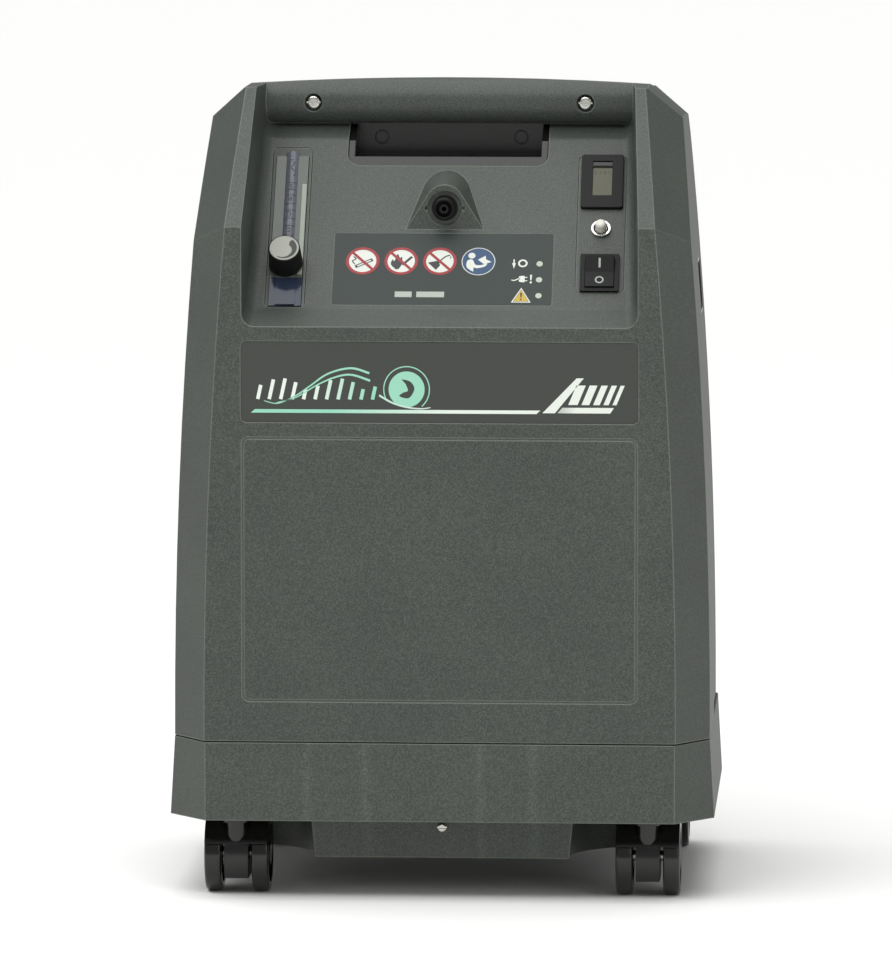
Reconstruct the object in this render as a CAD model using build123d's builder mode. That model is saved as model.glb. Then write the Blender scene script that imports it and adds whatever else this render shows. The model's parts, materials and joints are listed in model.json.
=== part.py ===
"""Oxygen concentrator: a free-standing moulded cabinet on four twin-wheel casters.

The cabinet is a front cover, a rear cover and a base tray.  The front cover has a deep
recess whose sloping panel carries a flowmeter, an oxygen outlet and a switch plate, with
a round carrying bar across its top.  Inside are a twin-head compressor on springs, a
cooling coil, two sieve beds, a product tank, a valve manifold and a circuit board.

Frame: millimetres, +X to the viewer's right, +Y to the back, +Z up.  The origin is on
the floor below the middle of the cabinet.  "Depth" is distance behind the front face.
"""

from build123d import *
from math import acos, atan2, cos, degrees, hypot, radians, sin, tan
import os

os.makedirs("parts", exist_ok=True)

# Cabinet
HEIGHT = 528.0  # floor to the crown of the roof
DEPTH = 292.0
WALL = 3.0
SKIRT_BOTTOM = 53.0
PARTING = 104.5  # height at which the covers stand on the base
SEAM = 0.9  # open gap between mating shells
SPLIT = 143.0  # depth at which the front cover meets the rear cover
REAR_INSET = 1.5  # the rear cover is this much smaller all round
SIDE_LOW, SIDE_MID, SIDE_TOP = (174.0, 95.0), (168.0, 324.0), (153.6, 504.0)
ROOF_EDGE = (131.0, 524.0)
BREAK_Z = 438.0  # the front face leans back from here up
REAR_BREAK_Z = 484.0  # the rear face leans forward from here up
SLOPE = 40.0  # degrees from vertical, of the upper front and of the panel
CORNER_ACROSS, CORNER_BACK = 21.5, 30.5  # bevel of the front corners
REAR_HALF = 156.0  # half width of the rear face, between its bevelled corners
REAR_ACROSS, REAR_BACK = 14.0, 22.0

# Control recess
LIP_Z = 374.0
FOOT_DEPTH, FOOT_Z = 22.0, 384.5  # the panel's lower end
RIDGE_V = 136.0  # length of the panel up its slope
BAR_DEPTH, BAR_Z, BAR_R = 128.0, 513.0, 15.0
RECESS_HALF = 127.5  # half width at the front face
RECESS_DRAFT = 3.5  # degrees
ROOF_FALL = 2.8  # degrees, from the carrying bar to the back
CONTROL_X = 101.5  # flowmeter to the left, switch plate to the right

# Fits
RUNNING = 0.05  # radial clearance of a pin in its bore
CLEAR = 0.4  # gap around a fixed insert

# Casters
CASTER_X = 134.0
CASTER_DEPTHS = {"front": 30.0, "rear": 242.0}
TRAIL = 19.0
WHEEL_R, WHEEL_W, WHEEL_GAP = 25.0, 11.0, 2.1
HUB_W = 15.6
STEM_R, AXLE_R = 5.0, 3.5
STEM_TOP = 90.0
WELL_R = 51.6
DECK_Z = 66.0  # underside of the deck
PAN_Z = 25.0  # underside of the pan


def y_at(depth):
    """Y of a point this far behind the front face."""
    return depth - DEPTH / 2


SINE, COSINE = sin(radians(SLOPE)), cos(radians(SLOPE))
PANEL = Plane(
    origin=(0, y_at(FOOT_DEPTH), FOOT_Z), x_dir=(1, 0, 0), z_dir=(0, -COSINE, SINE)
)


def on_panel(v, w=0.0):
    """Y and Z of a point v up the panel's slope and w out of it."""
    depth = FOOT_DEPTH + v * SINE - w * COSINE
    return y_at(depth), FOOT_Z + v * COSINE + w * SINE


def facing_front(depth):
    """A vertical plane whose normal points at the viewer, x to the right and y up."""
    return Plane(origin=(0, y_at(depth), 0), x_dir=(1, 0, 0), z_dir=(0, -1, 0))


def facing_back(depth):
    """A vertical plane whose normal points away from the viewer."""
    return Plane(origin=(0, y_at(depth), 0), x_dir=(-1, 0, 0), z_dir=(0, 1, 0))


def rod_along(plane, radius, length, start=0.0):
    """A cylinder along a plane's normal, as a free object."""
    with BuildPart() as rod:
        with BuildSketch(plane.offset(start)):
            Circle(radius)
        extrude(amount=length)
    return rod.part


def save(piece, name):
    """Labels a finished piece and writes it as its own node."""
    piece.part.label = name
    export_step(piece.part, f"parts/{name}.step")


# ------------------------------------------------------------------ cabinet forms


def cabinet_block(inset):
    """The cabinet's form above the base, with every face moved in by inset."""
    above = HEIGHT + 20
    slope_back = (above - BREAK_Z) * tan(radians(SLOPE))
    falling = (0, cos(radians(ROOF_FALL)), -sin(radians(ROOF_FALL)))
    with BuildPart() as block:
        with BuildSketch(facing_front(BAR_DEPTH)) as outline:
            with BuildLine():
                ThreePointArc(SIDE_LOW, SIDE_MID, SIDE_TOP)
                Line(SIDE_TOP, ROOF_EDGE)
                ThreePointArc(ROOF_EDGE, (0, HEIGHT), (-ROOF_EDGE[0], ROOF_EDGE[1]))
                Line((-ROOF_EDGE[0], ROOF_EDGE[1]), (-SIDE_TOP[0], SIDE_TOP[1]))
                ThreePointArc(
                    (-SIDE_TOP[0], SIDE_TOP[1]),
                    (-SIDE_MID[0], SIDE_MID[1]),
                    (-SIDE_LOW[0], SIDE_LOW[1]),
                )
                Line((-SIDE_LOW[0], SIDE_LOW[1]), SIDE_LOW)
            make_face()
            if inset:
                offset(amount=-inset, kind=Kind.INTERSECTION)
        extrude(amount=DEPTH)
        extrude(outline.sketch, amount=DEPTH, dir=falling)
        with BuildSketch(Plane.YZ):
            with BuildLine():
                Polyline(
                    (y_at(0), SIDE_LOW[1]),
                    (y_at(0), BREAK_Z),
                    (y_at(slope_back), above),
                    (y_at(DEPTH - 44), above),
                    (y_at(DEPTH), REAR_BREAK_Z),
                    (y_at(DEPTH), SIDE_LOW[1]),
                    close=True,
                )
            make_face()
            if inset:
                offset(amount=-inset, kind=Kind.INTERSECTION)
        extrude(amount=DEPTH, both=True, mode=Mode.INTERSECT)
        shrink = 1 - 0.0226 * inset
        for side in (0, -1):
            walls = block.faces().filter_by(lambda f: f.center().Y < y_at(BAR_DEPTH))
            wall = walls.sort_by(Axis.X)[side]
            upright = [e for e in wall.edges() if e.length > 40]
            front = [e for e in upright if e.center().Y < y_at(80)]
            front = [e for e in front if e.center().Z > SIDE_LOW[1] + 10]
            chamfer(front, CORNER_BACK * shrink, CORNER_ACROSS * shrink, reference=wall)
        with BuildSketch(Plane.XY):
            with BuildLine():
                Polyline(
                    (-REAR_HALF - REAR_ACROSS * 3, y_at(-10)),
                    (REAR_HALF + REAR_ACROSS * 3, y_at(-10)),
                    (REAR_HALF + REAR_ACROSS * 3, y_at(DEPTH - REAR_BACK * 3)),
                    (REAR_HALF, y_at(DEPTH)),
                    (-REAR_HALF, y_at(DEPTH)),
                    (-REAR_HALF - REAR_ACROSS * 3, y_at(DEPTH - REAR_BACK * 3)),
                    close=True,
                )
            make_face()
            if inset:
                offset(amount=-inset, kind=Kind.INTERSECTION)
        extrude(amount=above, mode=Mode.INTERSECT)
    return block.part


def recess_tool(grow, floor_radius):
    """The space in front of the sloping panel and of the carrying bar."""
    ridge = on_panel(RIDGE_V)
    lip_slope = (FOOT_Z - LIP_Z) / FOOT_DEPTH
    out, above = 22.0, HEIGHT + 20
    under_bar = BAR_Z - BAR_R
    with BuildPart() as tool:
        with BuildSketch(Plane.YZ) as profile:
            with BuildLine():
                Polyline(
                    (y_at(-out), LIP_Z - out * lip_slope),
                    (y_at(FOOT_DEPTH), FOOT_Z),
                    ridge,
                    (y_at(BAR_DEPTH), under_bar),
                    (y_at(BAR_DEPTH), above),
                    (y_at(-out), above),
                    close=True,
                )
            make_face()
            corners = profile.vertices()
            fillet(corners.sort_by_distance((y_at(FOOT_DEPTH), FOOT_Z))[0], 10)
            corners = profile.vertices()
            fillet(corners.sort_by_distance(ridge)[0], 8)
            if grow:
                offset(amount=grow, kind=Kind.INTERSECTION)
            with Locations((y_at(BAR_DEPTH), BAR_Z)):
                Circle(BAR_R - grow, mode=Mode.SUBTRACT)
            with Locations((y_at(BAR_DEPTH) + 20, BAR_Z)):
                Rectangle(40, 2 * (BAR_R - grow), mode=Mode.SUBTRACT)
        extrude(amount=RECESS_HALF + 10, both=True)
        draft = tan(radians(RECESS_DRAFT))
        near = RECESS_HALF + grow + (out + grow) * draft
        far = RECESS_HALF + grow - (BAR_DEPTH + 10) * draft
        with BuildSketch(Plane.XY.offset(LIP_Z - 60)):
            with BuildLine():
                Polyline(
                    (-near, y_at(-out - grow)),
                    (near, y_at(-out - grow)),
                    (far, y_at(BAR_DEPTH + 10)),
                    (-far, y_at(BAR_DEPTH + 10)),
                    close=True,
                )
            make_face()
        extrude(amount=HEIGHT, mode=Mode.INTERSECT)
        if floor_radius:
            for side in (0, -1):
                cheek = tool.faces().sort_by(Axis.X)[side]
                low = [e for e in cheek.edges() if e.center().Z < FOOT_Z + 60]
                low = [e for e in low if e.center().Y > y_at(-15)]
                fillet(low, floor_radius)
    return tool.part


OUTLET_FOOT_V = 62.6  # where the outlet's boss meets the panel
OUTLET_Z = 446.5
BOSS_HALF, BOSS_HIGH, BOSS_R = 25.4, 29.3, 12.5


def outlet_boss(inset):
    """The outlet's housing: a rounded triangle that widens as it runs back."""
    face_y, foot_z = on_panel(OUTLET_FOOT_V)
    radius = BOSS_R - inset
    centre_z = foot_z + BOSS_HIGH - BOSS_R
    half, low = BOSS_HALF - 1.9 * inset, foot_z + inset
    reach = hypot(half, centre_z - low)
    turn = degrees(atan2(low - centre_z, half)) + degrees(acos(radius / reach))
    touch_x, touch_z = radius * cos(radians(turn)), radius * sin(radians(turn))
    with BuildPart() as boss:
        with BuildSketch(Plane(origin=(0, face_y + inset, 0), x_dir=(1, 0, 0), z_dir=(0, -1, 0))):
            with BuildLine():
                ThreePointArc(
                    (touch_x, centre_z + touch_z),
                    (0, centre_z + radius),
                    (-touch_x, centre_z + touch_z),
                )
                Line((-touch_x, centre_z + touch_z), (-half, low))
                Line((-half, low), (half, low))
                Line((half, low), (touch_x, centre_z + touch_z))
            make_face()
        extrude(amount=-40, taper=-13.5)
    return boss.part


def split_box(front, rear, bottom):
    """A box that keeps what lies between two depths and above a height."""
    with BuildPart() as keep:
        with BuildSketch(Plane.XY.offset(bottom)):
            with Locations((0, (y_at(front) + y_at(rear)) / 2)):
                Rectangle(400, rear - front)
        extrude(amount=HEIGHT)
    return keep.part


def inner_space():
    """The hollow inside the front cover, one wall thickness in from its outside."""
    with BuildPart() as hollow:
        add(cabinet_block(WALL))
        add(recess_tool(WALL, 0), mode=Mode.SUBTRACT)
        add(outlet_boss(WALL))
    return hollow.part


# ---------------------------------------------------------------------- front cover

HANDLE_HALF, HANDLE_V = 65.5, 114.2  # the hand hole's half width and lower edge
HANDLE_BACK, HANDLE_FLOOR = 142.5, 478.0
SLOT_W, SLOT_V = 26.0, 128.6  # the flowmeter's slot
PLATE_W, PLATE_LOW, PLATE_HIGH = 31.7, 12.2, 122.7  # the switch plate
LABEL_HALF, LABEL_LOW, LABEL_HIGH = 71.0, 2.6, 59.4
BADGE_HALF, BADGE_LOW, BADGE_HIGH = 128.0, 312.2, 364.5
GROOVE_HALF, GROOVE_LOW, GROOVE_HIGH = 127.6, 130.9, 302.6
LED_X, LED_V, LED_R = 62.5, (35.5, 22.8, 10.2), 2.1
BAR_SCREW_X, BAR_SCREW_Z = 89.2, 512.0
OUTLET_DEPTH = on_panel(OUTLET_FOOT_V)[0] + DEPTH / 2
OUTLET_BORE = 6.5
OUTLET_WELL = 2.0

with BuildPart() as hand_hole:
    with BuildSketch(Plane.YZ):
        with BuildLine():
            Polyline(
                on_panel(HANDLE_V, 6),
                on_panel(HANDLE_V, -12),
                (y_at(HANDLE_BACK + 8), HANDLE_FLOOR - 7),
                (y_at(HANDLE_BACK + 8), BAR_Z - BAR_R - 0.1),
                (y_at(100), BAR_Z - BAR_R - 0.1),
                close=True,
            )
        make_face()
    extrude(amount=HANDLE_HALF, both=True)
    low_corners = hand_hole.edges().filter_by(lambda e: abs(abs(e.center().X) - HANDLE_HALF) < 0.1)
    low_corners = low_corners.sort_by_distance((HANDLE_HALF, *on_panel(HANDLE_V, -3)))[:1]
    low_corners += hand_hole.edges().sort_by_distance((-HANDLE_HALF, *on_panel(HANDLE_V, -3)))[:1]
    fillet(low_corners, 9)

with BuildPart() as front_cover:
    add(cabinet_block(0))
    add(recess_tool(0, 8), mode=Mode.SUBTRACT)
    add(outlet_boss(0))
    add(inner_space(), mode=Mode.SUBTRACT)
    add(split_box(-30, SPLIT - SEAM / 2, PARTING + SEAM / 2), mode=Mode.INTERSECT)
    with BuildSketch(facing_back(117)):
        with Locations((BAR_SCREW_X, BAR_SCREW_Z), (-BAR_SCREW_X, BAR_SCREW_Z)):
            Circle(8.5)
    extrude(amount=22)
    with BuildSketch(facing_back(95)):
        with Locations((BAR_SCREW_X, BAR_SCREW_Z), (-BAR_SCREW_X, BAR_SCREW_Z)):
            Circle(5.9)
    extrude(amount=22.4, mode=Mode.SUBTRACT)
    with BuildSketch(facing_back(115)):
        with Locations((BAR_SCREW_X, BAR_SCREW_Z), (-BAR_SCREW_X, BAR_SCREW_Z)):
            Circle(2.2)
    extrude(amount=21, mode=Mode.SUBTRACT)
    add(hand_hole.part, mode=Mode.SUBTRACT)
    with BuildSketch(PANEL.offset(-8)):
        with Locations((-CONTROL_X, SLOT_V / 2)):
            RectangleRounded(SLOT_W, SLOT_V, 3.5)
        with Locations((CONTROL_X, (PLATE_LOW + PLATE_HIGH) / 2)):
            RectangleRounded(24.4, PLATE_HIGH - PLATE_LOW - 4, 2)
        with Locations(*[(LED_X, v) for v in LED_V]):
            Circle(LED_R + 0.1)
    extrude(amount=12, mode=Mode.SUBTRACT)
    with BuildSketch(PANEL.offset(-1.2)):
        with Locations((CONTROL_X, (PLATE_LOW + PLATE_HIGH) / 2)):
            RectangleRounded(PLATE_W, PLATE_HIGH - PLATE_LOW, 4.5)
    extrude(amount=4, mode=Mode.SUBTRACT)
    with BuildSketch(PANEL.offset(-0.4)):
        with Locations((0, (LABEL_LOW + LABEL_HIGH) / 2)):
            RectangleRounded(2 * LABEL_HALF, LABEL_HIGH - LABEL_LOW, 1.5)
    extrude(amount=1, mode=Mode.SUBTRACT)
    with BuildSketch(facing_back(-1)):
        with Locations((0, (BADGE_LOW + BADGE_HIGH) / 2)):
            RectangleRounded(2 * BADGE_HALF, BADGE_HIGH - BADGE_LOW, 4)
    extrude(amount=1.7, mode=Mode.SUBTRACT)
    with BuildSketch(facing_back(-1)):
        with Locations((0, (GROOVE_LOW + GROOVE_HIGH) / 2)):
            RectangleRounded(2 * GROOVE_HALF, GROOVE_HIGH - GROOVE_LOW, 5)
            RectangleRounded(
                2 * GROOVE_HALF - 2.6, GROOVE_HIGH - GROOVE_LOW - 2.6, 3.7, mode=Mode.SUBTRACT
            )
    extrude(amount=1.6, mode=Mode.SUBTRACT)
    with BuildSketch(facing_back(OUTLET_DEPTH - 1)):
        with Locations((0, OUTLET_Z)):
            Circle(11.4)
            Rectangle(26, 3)
    extrude(amount=1 + OUTLET_WELL, mode=Mode.SUBTRACT)
    with BuildSketch(facing_back(OUTLET_DEPTH - 1)):
        with Locations((0, OUTLET_Z)):
            Circle(OUTLET_BORE)
    extrude(amount=14, mode=Mode.SUBTRACT)
save(front_cover, "front_cover")

# ----------------------------------------------------------------------- rear cover

REAR_FACE = DEPTH - REAR_INSET
GRIP_DEPTHS, GRIP_ZS = (156.0, 250.0), (366.0, 403.0)
GRIP_INNER = 142.0
FILTER_HALF, FILTER_ZS, POCKET_DEPTH = 62.0, (405.0, 470.0), 16.5
VENT_HALF, VENT_ZS = 70.0, (120.0, 190.0)
CORD_X, CORD_Z, CORD_HOLE = -112.0, 150.0, 9.0
REAR_SCREWS = [(x, z) for x in (-132, 132) for z in (128, 372)]
FILTER_MID = (FILTER_ZS[0] + FILTER_ZS[1]) / 2
VENT_MID = (VENT_ZS[0] + VENT_ZS[1]) / 2


def grip_form(side, gap, inner):
    """A rounded block through one side wall, for a hand grip."""
    depths = (GRIP_DEPTHS[0] + gap, GRIP_DEPTHS[1] - gap)
    heights = (GRIP_ZS[0] + gap, GRIP_ZS[1] - gap)
    with BuildPart() as form:
        with BuildSketch(Plane.YZ.offset(side * inner)):
            with Locations((y_at(sum(depths) / 2), sum(heights) / 2)):
                RectangleRounded(depths[1] - depths[0], heights[1] - heights[0], 7 - gap)
        extrude(amount=side * 60)
    return form.part


def seam_lip():
    """A lip inside the front cover's edge, which closes the seam between the covers."""
    with BuildPart() as lip:
        add(cabinet_block(WALL + CLEAR))
        add(cabinet_block(WALL + CLEAR + 2), mode=Mode.SUBTRACT)
        add(split_box(SPLIT - 8, SPLIT + 3, PARTING + 9), mode=Mode.INTERSECT)
    return lip.part


with BuildPart() as rear_cover:
    add(cabinet_block(REAR_INSET))
    add(cabinet_block(REAR_INSET + WALL), mode=Mode.SUBTRACT)
    add(split_box(SPLIT + SEAM / 2, DEPTH + 10, PARTING + SEAM / 2), mode=Mode.INTERSECT)
    add(seam_lip())
    with BuildSketch(facing_front(REAR_FACE - 1)):
        with Locations((0, FILTER_MID)):
            Rectangle(2 * FILTER_HALF + 6, FILTER_ZS[1] - FILTER_ZS[0] + 6)
    extrude(amount=POCKET_DEPTH + 2)
    with BuildSketch(facing_front(REAR_FACE + 1)):
        with Locations((0, FILTER_MID)):
            Rectangle(2 * FILTER_HALF, FILTER_ZS[1] - FILTER_ZS[0])
    extrude(amount=POCKET_DEPTH + 1, mode=Mode.SUBTRACT)
    with BuildSketch(facing_front(REAR_FACE)):
        with Locations((0, FILTER_MID)):
            with GridLocations(0, 9, 1, 6):
                SlotOverall(2 * FILTER_HALF - 14, 5)
    extrude(amount=POCKET_DEPTH + 6, mode=Mode.SUBTRACT)
    with BuildSketch(facing_front(REAR_FACE + 1)):
        with Locations((0, VENT_MID)):
            RectangleRounded(2 * VENT_HALF, VENT_ZS[1] - VENT_ZS[0], 4)
        with Locations((CORD_X, CORD_Z)):
            Circle(CORD_HOLE)
    extrude(amount=8, mode=Mode.SUBTRACT)
    with BuildSketch(facing_front(REAR_FACE - 1)):
        with Locations(*REAR_SCREWS):
            Circle(7)
    extrude(amount=14)
    with BuildSketch(facing_front(REAR_FACE)):
        with Locations(*REAR_SCREWS):
            Circle(2.2)
    extrude(amount=13, mode=Mode.SUBTRACT)
    with BuildSketch(facing_front(REAR_FACE)):
        with Locations(*REAR_SCREWS):
            Circle(5)
    extrude(amount=2.4, mode=Mode.SUBTRACT)
    for hand in (-1, 1):
        add(grip_form(hand, 0, 135), mode=Mode.SUBTRACT)
save(rear_cover, "rear_cover")

# ------------------------------------------------------------------------ base tray

FRONT_HALF = 152.0
SKIRT_TOP_HALF, SKIRT_LOW_HALF = 174.0, 177.0
PAN_HALF, PAN_FRONT, PAN_REAR = 140.0, 32.0, 260.0
WELL_CENTRES = [(-CASTER_X, 36.0), (CASTER_X, 36.0), (-CASTER_X, 242.0), (CASTER_X, 242.0)]


def skirt_outline(half):
    """The base's outline in plan, for a given half width at its sides."""
    bevel_back = (half - REAR_HALF) * REAR_BACK / REAR_ACROSS
    right = [
        (FRONT_HALF, y_at(0)),
        (half, y_at(CORNER_BACK)),
        (half, y_at(DEPTH - bevel_back)),
        (REAR_HALF, y_at(DEPTH)),
    ]
    return right + [(-x, y) for x, y in reversed(right)]


def skirt_form(inset, bottom, top):
    """The flared base above its lower edge, moved in by inset."""
    with BuildPart() as form:
        for height, half in ((SKIRT_BOTTOM, SKIRT_LOW_HALF), (PARTING, SKIRT_TOP_HALF)):
            with BuildSketch(Plane.XY.offset(height)):
                with BuildLine():
                    Polyline(*skirt_outline(half), close=True)
                make_face()
                if inset:
                    offset(amount=-inset, kind=Kind.INTERSECTION)
        loft(ruled=True)
        with BuildSketch(Plane.XY.offset(bottom)):
            Rectangle(2 * SKIRT_LOW_HALF + 20, DEPTH + 20)
        extrude(amount=top - bottom, mode=Mode.INTERSECT)
    return form.part


def pan_form(inset):
    """The lowered pan between the caster wells."""
    with BuildPart() as form:
        with BuildSketch(Plane.XY.offset(PAN_Z + inset)):
            with Locations((0, (y_at(PAN_FRONT) + y_at(PAN_REAR)) / 2)):
                Rectangle(2 * (PAN_HALF - inset), PAN_REAR - PAN_FRONT - 2 * inset)
        extrude(amount=DECK_Z + WALL - PAN_Z - inset)
        for well_x, well_depth in WELL_CENTRES:
            with BuildSketch(Plane.XY.offset(PAN_Z - 1)):
                with Locations((well_x, y_at(well_depth))):
                    Circle(WELL_R + inset)
            extrude(amount=60, taper=6, mode=Mode.SUBTRACT)
    return form.part


with BuildPart() as base_tray:
    add(skirt_form(0, SKIRT_BOTTOM, PARTING - SEAM / 2))
    add(skirt_form(WALL, SKIRT_BOTTOM - 1, DECK_Z), mode=Mode.SUBTRACT)
    add(skirt_form(WALL, DECK_Z + WALL, 92), mode=Mode.SUBTRACT)
    add(skirt_form(7, 91.9, PARTING + 1), mode=Mode.SUBTRACT)
    add(pan_form(0))
    add(pan_form(WALL), mode=Mode.SUBTRACT)
    with BuildSketch(Plane.XY.offset(60)):
        for caster_depth in CASTER_DEPTHS.values():
            with Locations((-CASTER_X, y_at(caster_depth)), (CASTER_X, y_at(caster_depth))):
                Circle(10)
    extrude(amount=36)
    with BuildSketch(Plane.XY.offset(59)):
        for caster_depth in CASTER_DEPTHS.values():
            with Locations((-CASTER_X, y_at(caster_depth)), (CASTER_X, y_at(caster_depth))):
                Circle(STEM_R + RUNNING)
    extrude(amount=STEM_TOP + 2 - 59, mode=Mode.SUBTRACT)
    with BuildSketch(Plane.XY.offset(98)):
        with BuildLine():
            Polyline(*skirt_outline(SKIRT_TOP_HALF), close=True)
        make_face()
        offset(amount=-5, kind=Kind.INTERSECTION)
    extrude(amount=12)
    with BuildSketch(Plane.XY.offset(97)):
        with BuildLine():
            Polyline(*skirt_outline(SKIRT_TOP_HALF), close=True)
        make_face()
        offset(amount=-7, kind=Kind.INTERSECTION)
    extrude(amount=14, mode=Mode.SUBTRACT)
    with BuildSketch(facing_back(PAN_FRONT - 1)):
        with Locations((0, 45)):
            Circle(2.2)
    extrude(amount=WALL + 3, mode=Mode.SUBTRACT)
save(base_tray, "base_tray")

# ------------------------------------------------------------- handle and hand grips

CUP_GAP = 0.4
CUP_SIDE, CUP_WALL = 4.1, 2.5
PIN_MARK_X, PIN_MARK_R = 46.0, 4.6

with BuildPart() as handle_cup:
    with BuildSketch(Plane.YZ):
        with BuildLine():
            Polyline(
                on_panel(HANDLE_V + CUP_GAP, -0.8),
                on_panel(HANDLE_V + CUP_GAP, -5),
                (y_at(HANDLE_BACK + CUP_WALL), HANDLE_FLOOR - 6),
                (y_at(HANDLE_BACK + CUP_WALL), BAR_Z - BAR_R + CUP_WALL),
                (y_at(BAR_DEPTH + 4), BAR_Z - BAR_R + CUP_WALL),
                (y_at(BAR_DEPTH + 4), BAR_Z - BAR_R - 1),
                on_panel(RIDGE_V - 1, -0.8),
                close=True,
            )
        make_face()
    extrude(amount=HANDLE_HALF - CUP_GAP, both=True)
    cup_low = handle_cup.edges().sort_by_distance((HANDLE_HALF, *on_panel(HANDLE_V, -3)))[:1]
    cup_low += handle_cup.edges().sort_by_distance((-HANDLE_HALF, *on_panel(HANDLE_V, -3)))[:1]
    fillet(cup_low, 8.6)
    with BuildSketch(Plane.YZ):
        with BuildLine():
            Polyline(
                (y_at(80), HANDLE_FLOOR),
                (y_at(HANDLE_BACK), HANDLE_FLOOR - 1.5),
                (y_at(HANDLE_BACK), BAR_Z - BAR_R),
                (y_at(80), BAR_Z - BAR_R),
                close=True,
            )
        make_face()
    extrude(amount=HANDLE_HALF - CUP_GAP - CUP_SIDE, both=True, mode=Mode.SUBTRACT)
    with BuildSketch(facing_back(HANDLE_BACK)):
        with Locations((-PIN_MARK_X, 488), (PIN_MARK_X, 488)):
            Circle(PIN_MARK_R)
            Circle(PIN_MARK_R - 0.5, mode=Mode.SUBTRACT)
    extrude(amount=0.3, mode=Mode.SUBTRACT)
save(handle_cup, "handle_cup")

with BuildPart() as side_grips:
    for hand in (-1, 1):
        add(grip_form(hand, CLEAR, GRIP_INNER))
    add(cabinet_block(REAR_INSET + 0.3), mode=Mode.INTERSECT)
    for hand in (-1, 1):
        add(grip_form(hand, CLEAR + 2.2, GRIP_INNER + 2.5), mode=Mode.SUBTRACT)
save(side_grips, "side_grips")

# -------------------------------------------------------------------------- fasteners


def screw_head(plane, radius, height, slot):
    """A domed head with a straight slot, standing on a plane."""
    with BuildPart() as head:
        with BuildSketch(plane):
            Circle(radius)
        extrude(amount=height)
        rim = head.edges().filter_by(GeomType.CIRCLE)
        rim = rim.sort_by_distance(plane.origin + plane.z_dir * height)[:1]
        fillet(rim, height * 0.75)
        with BuildSketch(plane.offset(height - slot)):
            Rectangle(2 * radius + 2, 1.3)
        extrude(amount=slot + 1, mode=Mode.SUBTRACT)
    return head.part


with BuildPart() as bar_screws:
    for screw_x in (-BAR_SCREW_X, BAR_SCREW_X):
        centre = (screw_x, y_at(115 + 2.2), BAR_SCREW_Z)
        spot = Plane(origin=centre, x_dir=(1, 0, 0), z_dir=(0, -1, 0))
        add(screw_head(spot, 4.9, 3.2, 1.2))
        add(rod_along(spot, 2.1, -18))
save(bar_screws, "bar_screws")

with BuildPart() as cabinet_screws:
    for screw_x, screw_z in REAR_SCREWS:
        centre = (screw_x, y_at(REAR_FACE - 2.3), screw_z)
        spot = Plane(origin=centre, x_dir=(1, 0, 0), z_dir=(0, 1, 0))
        add(screw_head(spot, 4.2, 2.0, 0.9))
        add(rod_along(spot, 2.1, -10))
    centre = (0, y_at(PAN_FRONT - 0.1), 45)
    spot = Plane(origin=centre, x_dir=(1, 0, 0), z_dir=(0, -1, 0))
    add(screw_head(spot, 3.2, 2.0, 0.9))
    add(rod_along(spot, 2.1, -10))
save(cabinet_screws, "cabinet_screws")

# ------------------------------------------------------------------------- flowmeter

TUBE_R, TUBE_BORE, TUBE_W = 6.15, 2.7, -4.2
TUBE_LOW, TUBE_HIGH = 47.0, 124.0
BLOCK_W, BLOCK_LOW, BLOCK_HIGH, BLOCK_BACK, BLOCK_FRONT = 21.0, 1.2, 121.0, -13.0, 0.6
KNOB_X, KNOB_V = -102.0, 34.0
KNOB_BASE_R, KNOB_RIM_R, KNOB_CAP_R, KNOB_HIGH = 11.1, 10.2, 9.5, 16.6
NEEDLE_R = 2.5
FLOAT_R = 2.62
KNOB_FOOT = 2.0


def tube_plane(v):
    """The section plane across the flowmeter's tube, with its normal up the slope."""
    return Plane(
        origin=(-CONTROL_X, *on_panel(v, TUBE_W)), x_dir=(1, 0, 0), z_dir=(0, SINE, COSINE)
    )


with BuildPart() as flowmeter_body:
    with BuildSketch(PANEL.offset(BLOCK_BACK)):
        with Locations((-CONTROL_X, (BLOCK_LOW + BLOCK_HIGH) / 2)):
            Rectangle(BLOCK_W, BLOCK_HIGH - BLOCK_LOW)
    extrude(amount=BLOCK_FRONT - BLOCK_BACK)
    with BuildSketch(PANEL):
        with Locations((-CONTROL_X, (BLOCK_LOW + 24.7) / 2)):
            Rectangle(12.6, 23.5 - 0.6)
        with Locations((KNOB_X, KNOB_V)):
            Circle(8)
    extrude(amount=1.8)
    with BuildSketch(tube_plane(TUBE_LOW)):
        Circle(TUBE_R + 0.08)
    extrude(amount=BLOCK_HIGH, mode=Mode.SUBTRACT)
    with BuildSketch(PANEL.offset(3)):
        with Locations((KNOB_X, KNOB_V)):
            Circle(NEEDLE_R + RUNNING)
    extrude(amount=-14, mode=Mode.SUBTRACT)
    with BuildSketch(tube_plane(8)):
        Circle(1.3)
    extrude(amount=TUBE_LOW - 7, mode=Mode.SUBTRACT)
    with BuildSketch(PANEL.offset(BLOCK_BACK - 1)):
        with Locations((-CONTROL_X, 11), (-CONTROL_X, 112)):
            Circle(1.8)
    extrude(amount=7, mode=Mode.SUBTRACT)
save(flowmeter_body, "flowmeter_body")

with BuildPart() as flowmeter_tube:
    with BuildSketch(tube_plane(TUBE_LOW)):
        Circle(TUBE_R)
    extrude(amount=TUBE_HIGH - TUBE_LOW)
    with BuildSketch(tube_plane(TUBE_LOW + 4)):
        Circle(TUBE_BORE)
    extrude(amount=TUBE_HIGH - TUBE_LOW - 9, mode=Mode.SUBTRACT)
    with BuildSketch(tube_plane(TUBE_LOW)):
        Circle(1.3)
    extrude(amount=5, mode=Mode.SUBTRACT)
    with BuildSketch(PANEL.offset(BLOCK_BACK)):
        with Locations((-CONTROL_X, 112)):
            Circle(1.8)
    extrude(amount=TUBE_W - BLOCK_BACK, mode=Mode.SUBTRACT)
save(flowmeter_tube, "flowmeter_tube")

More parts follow.
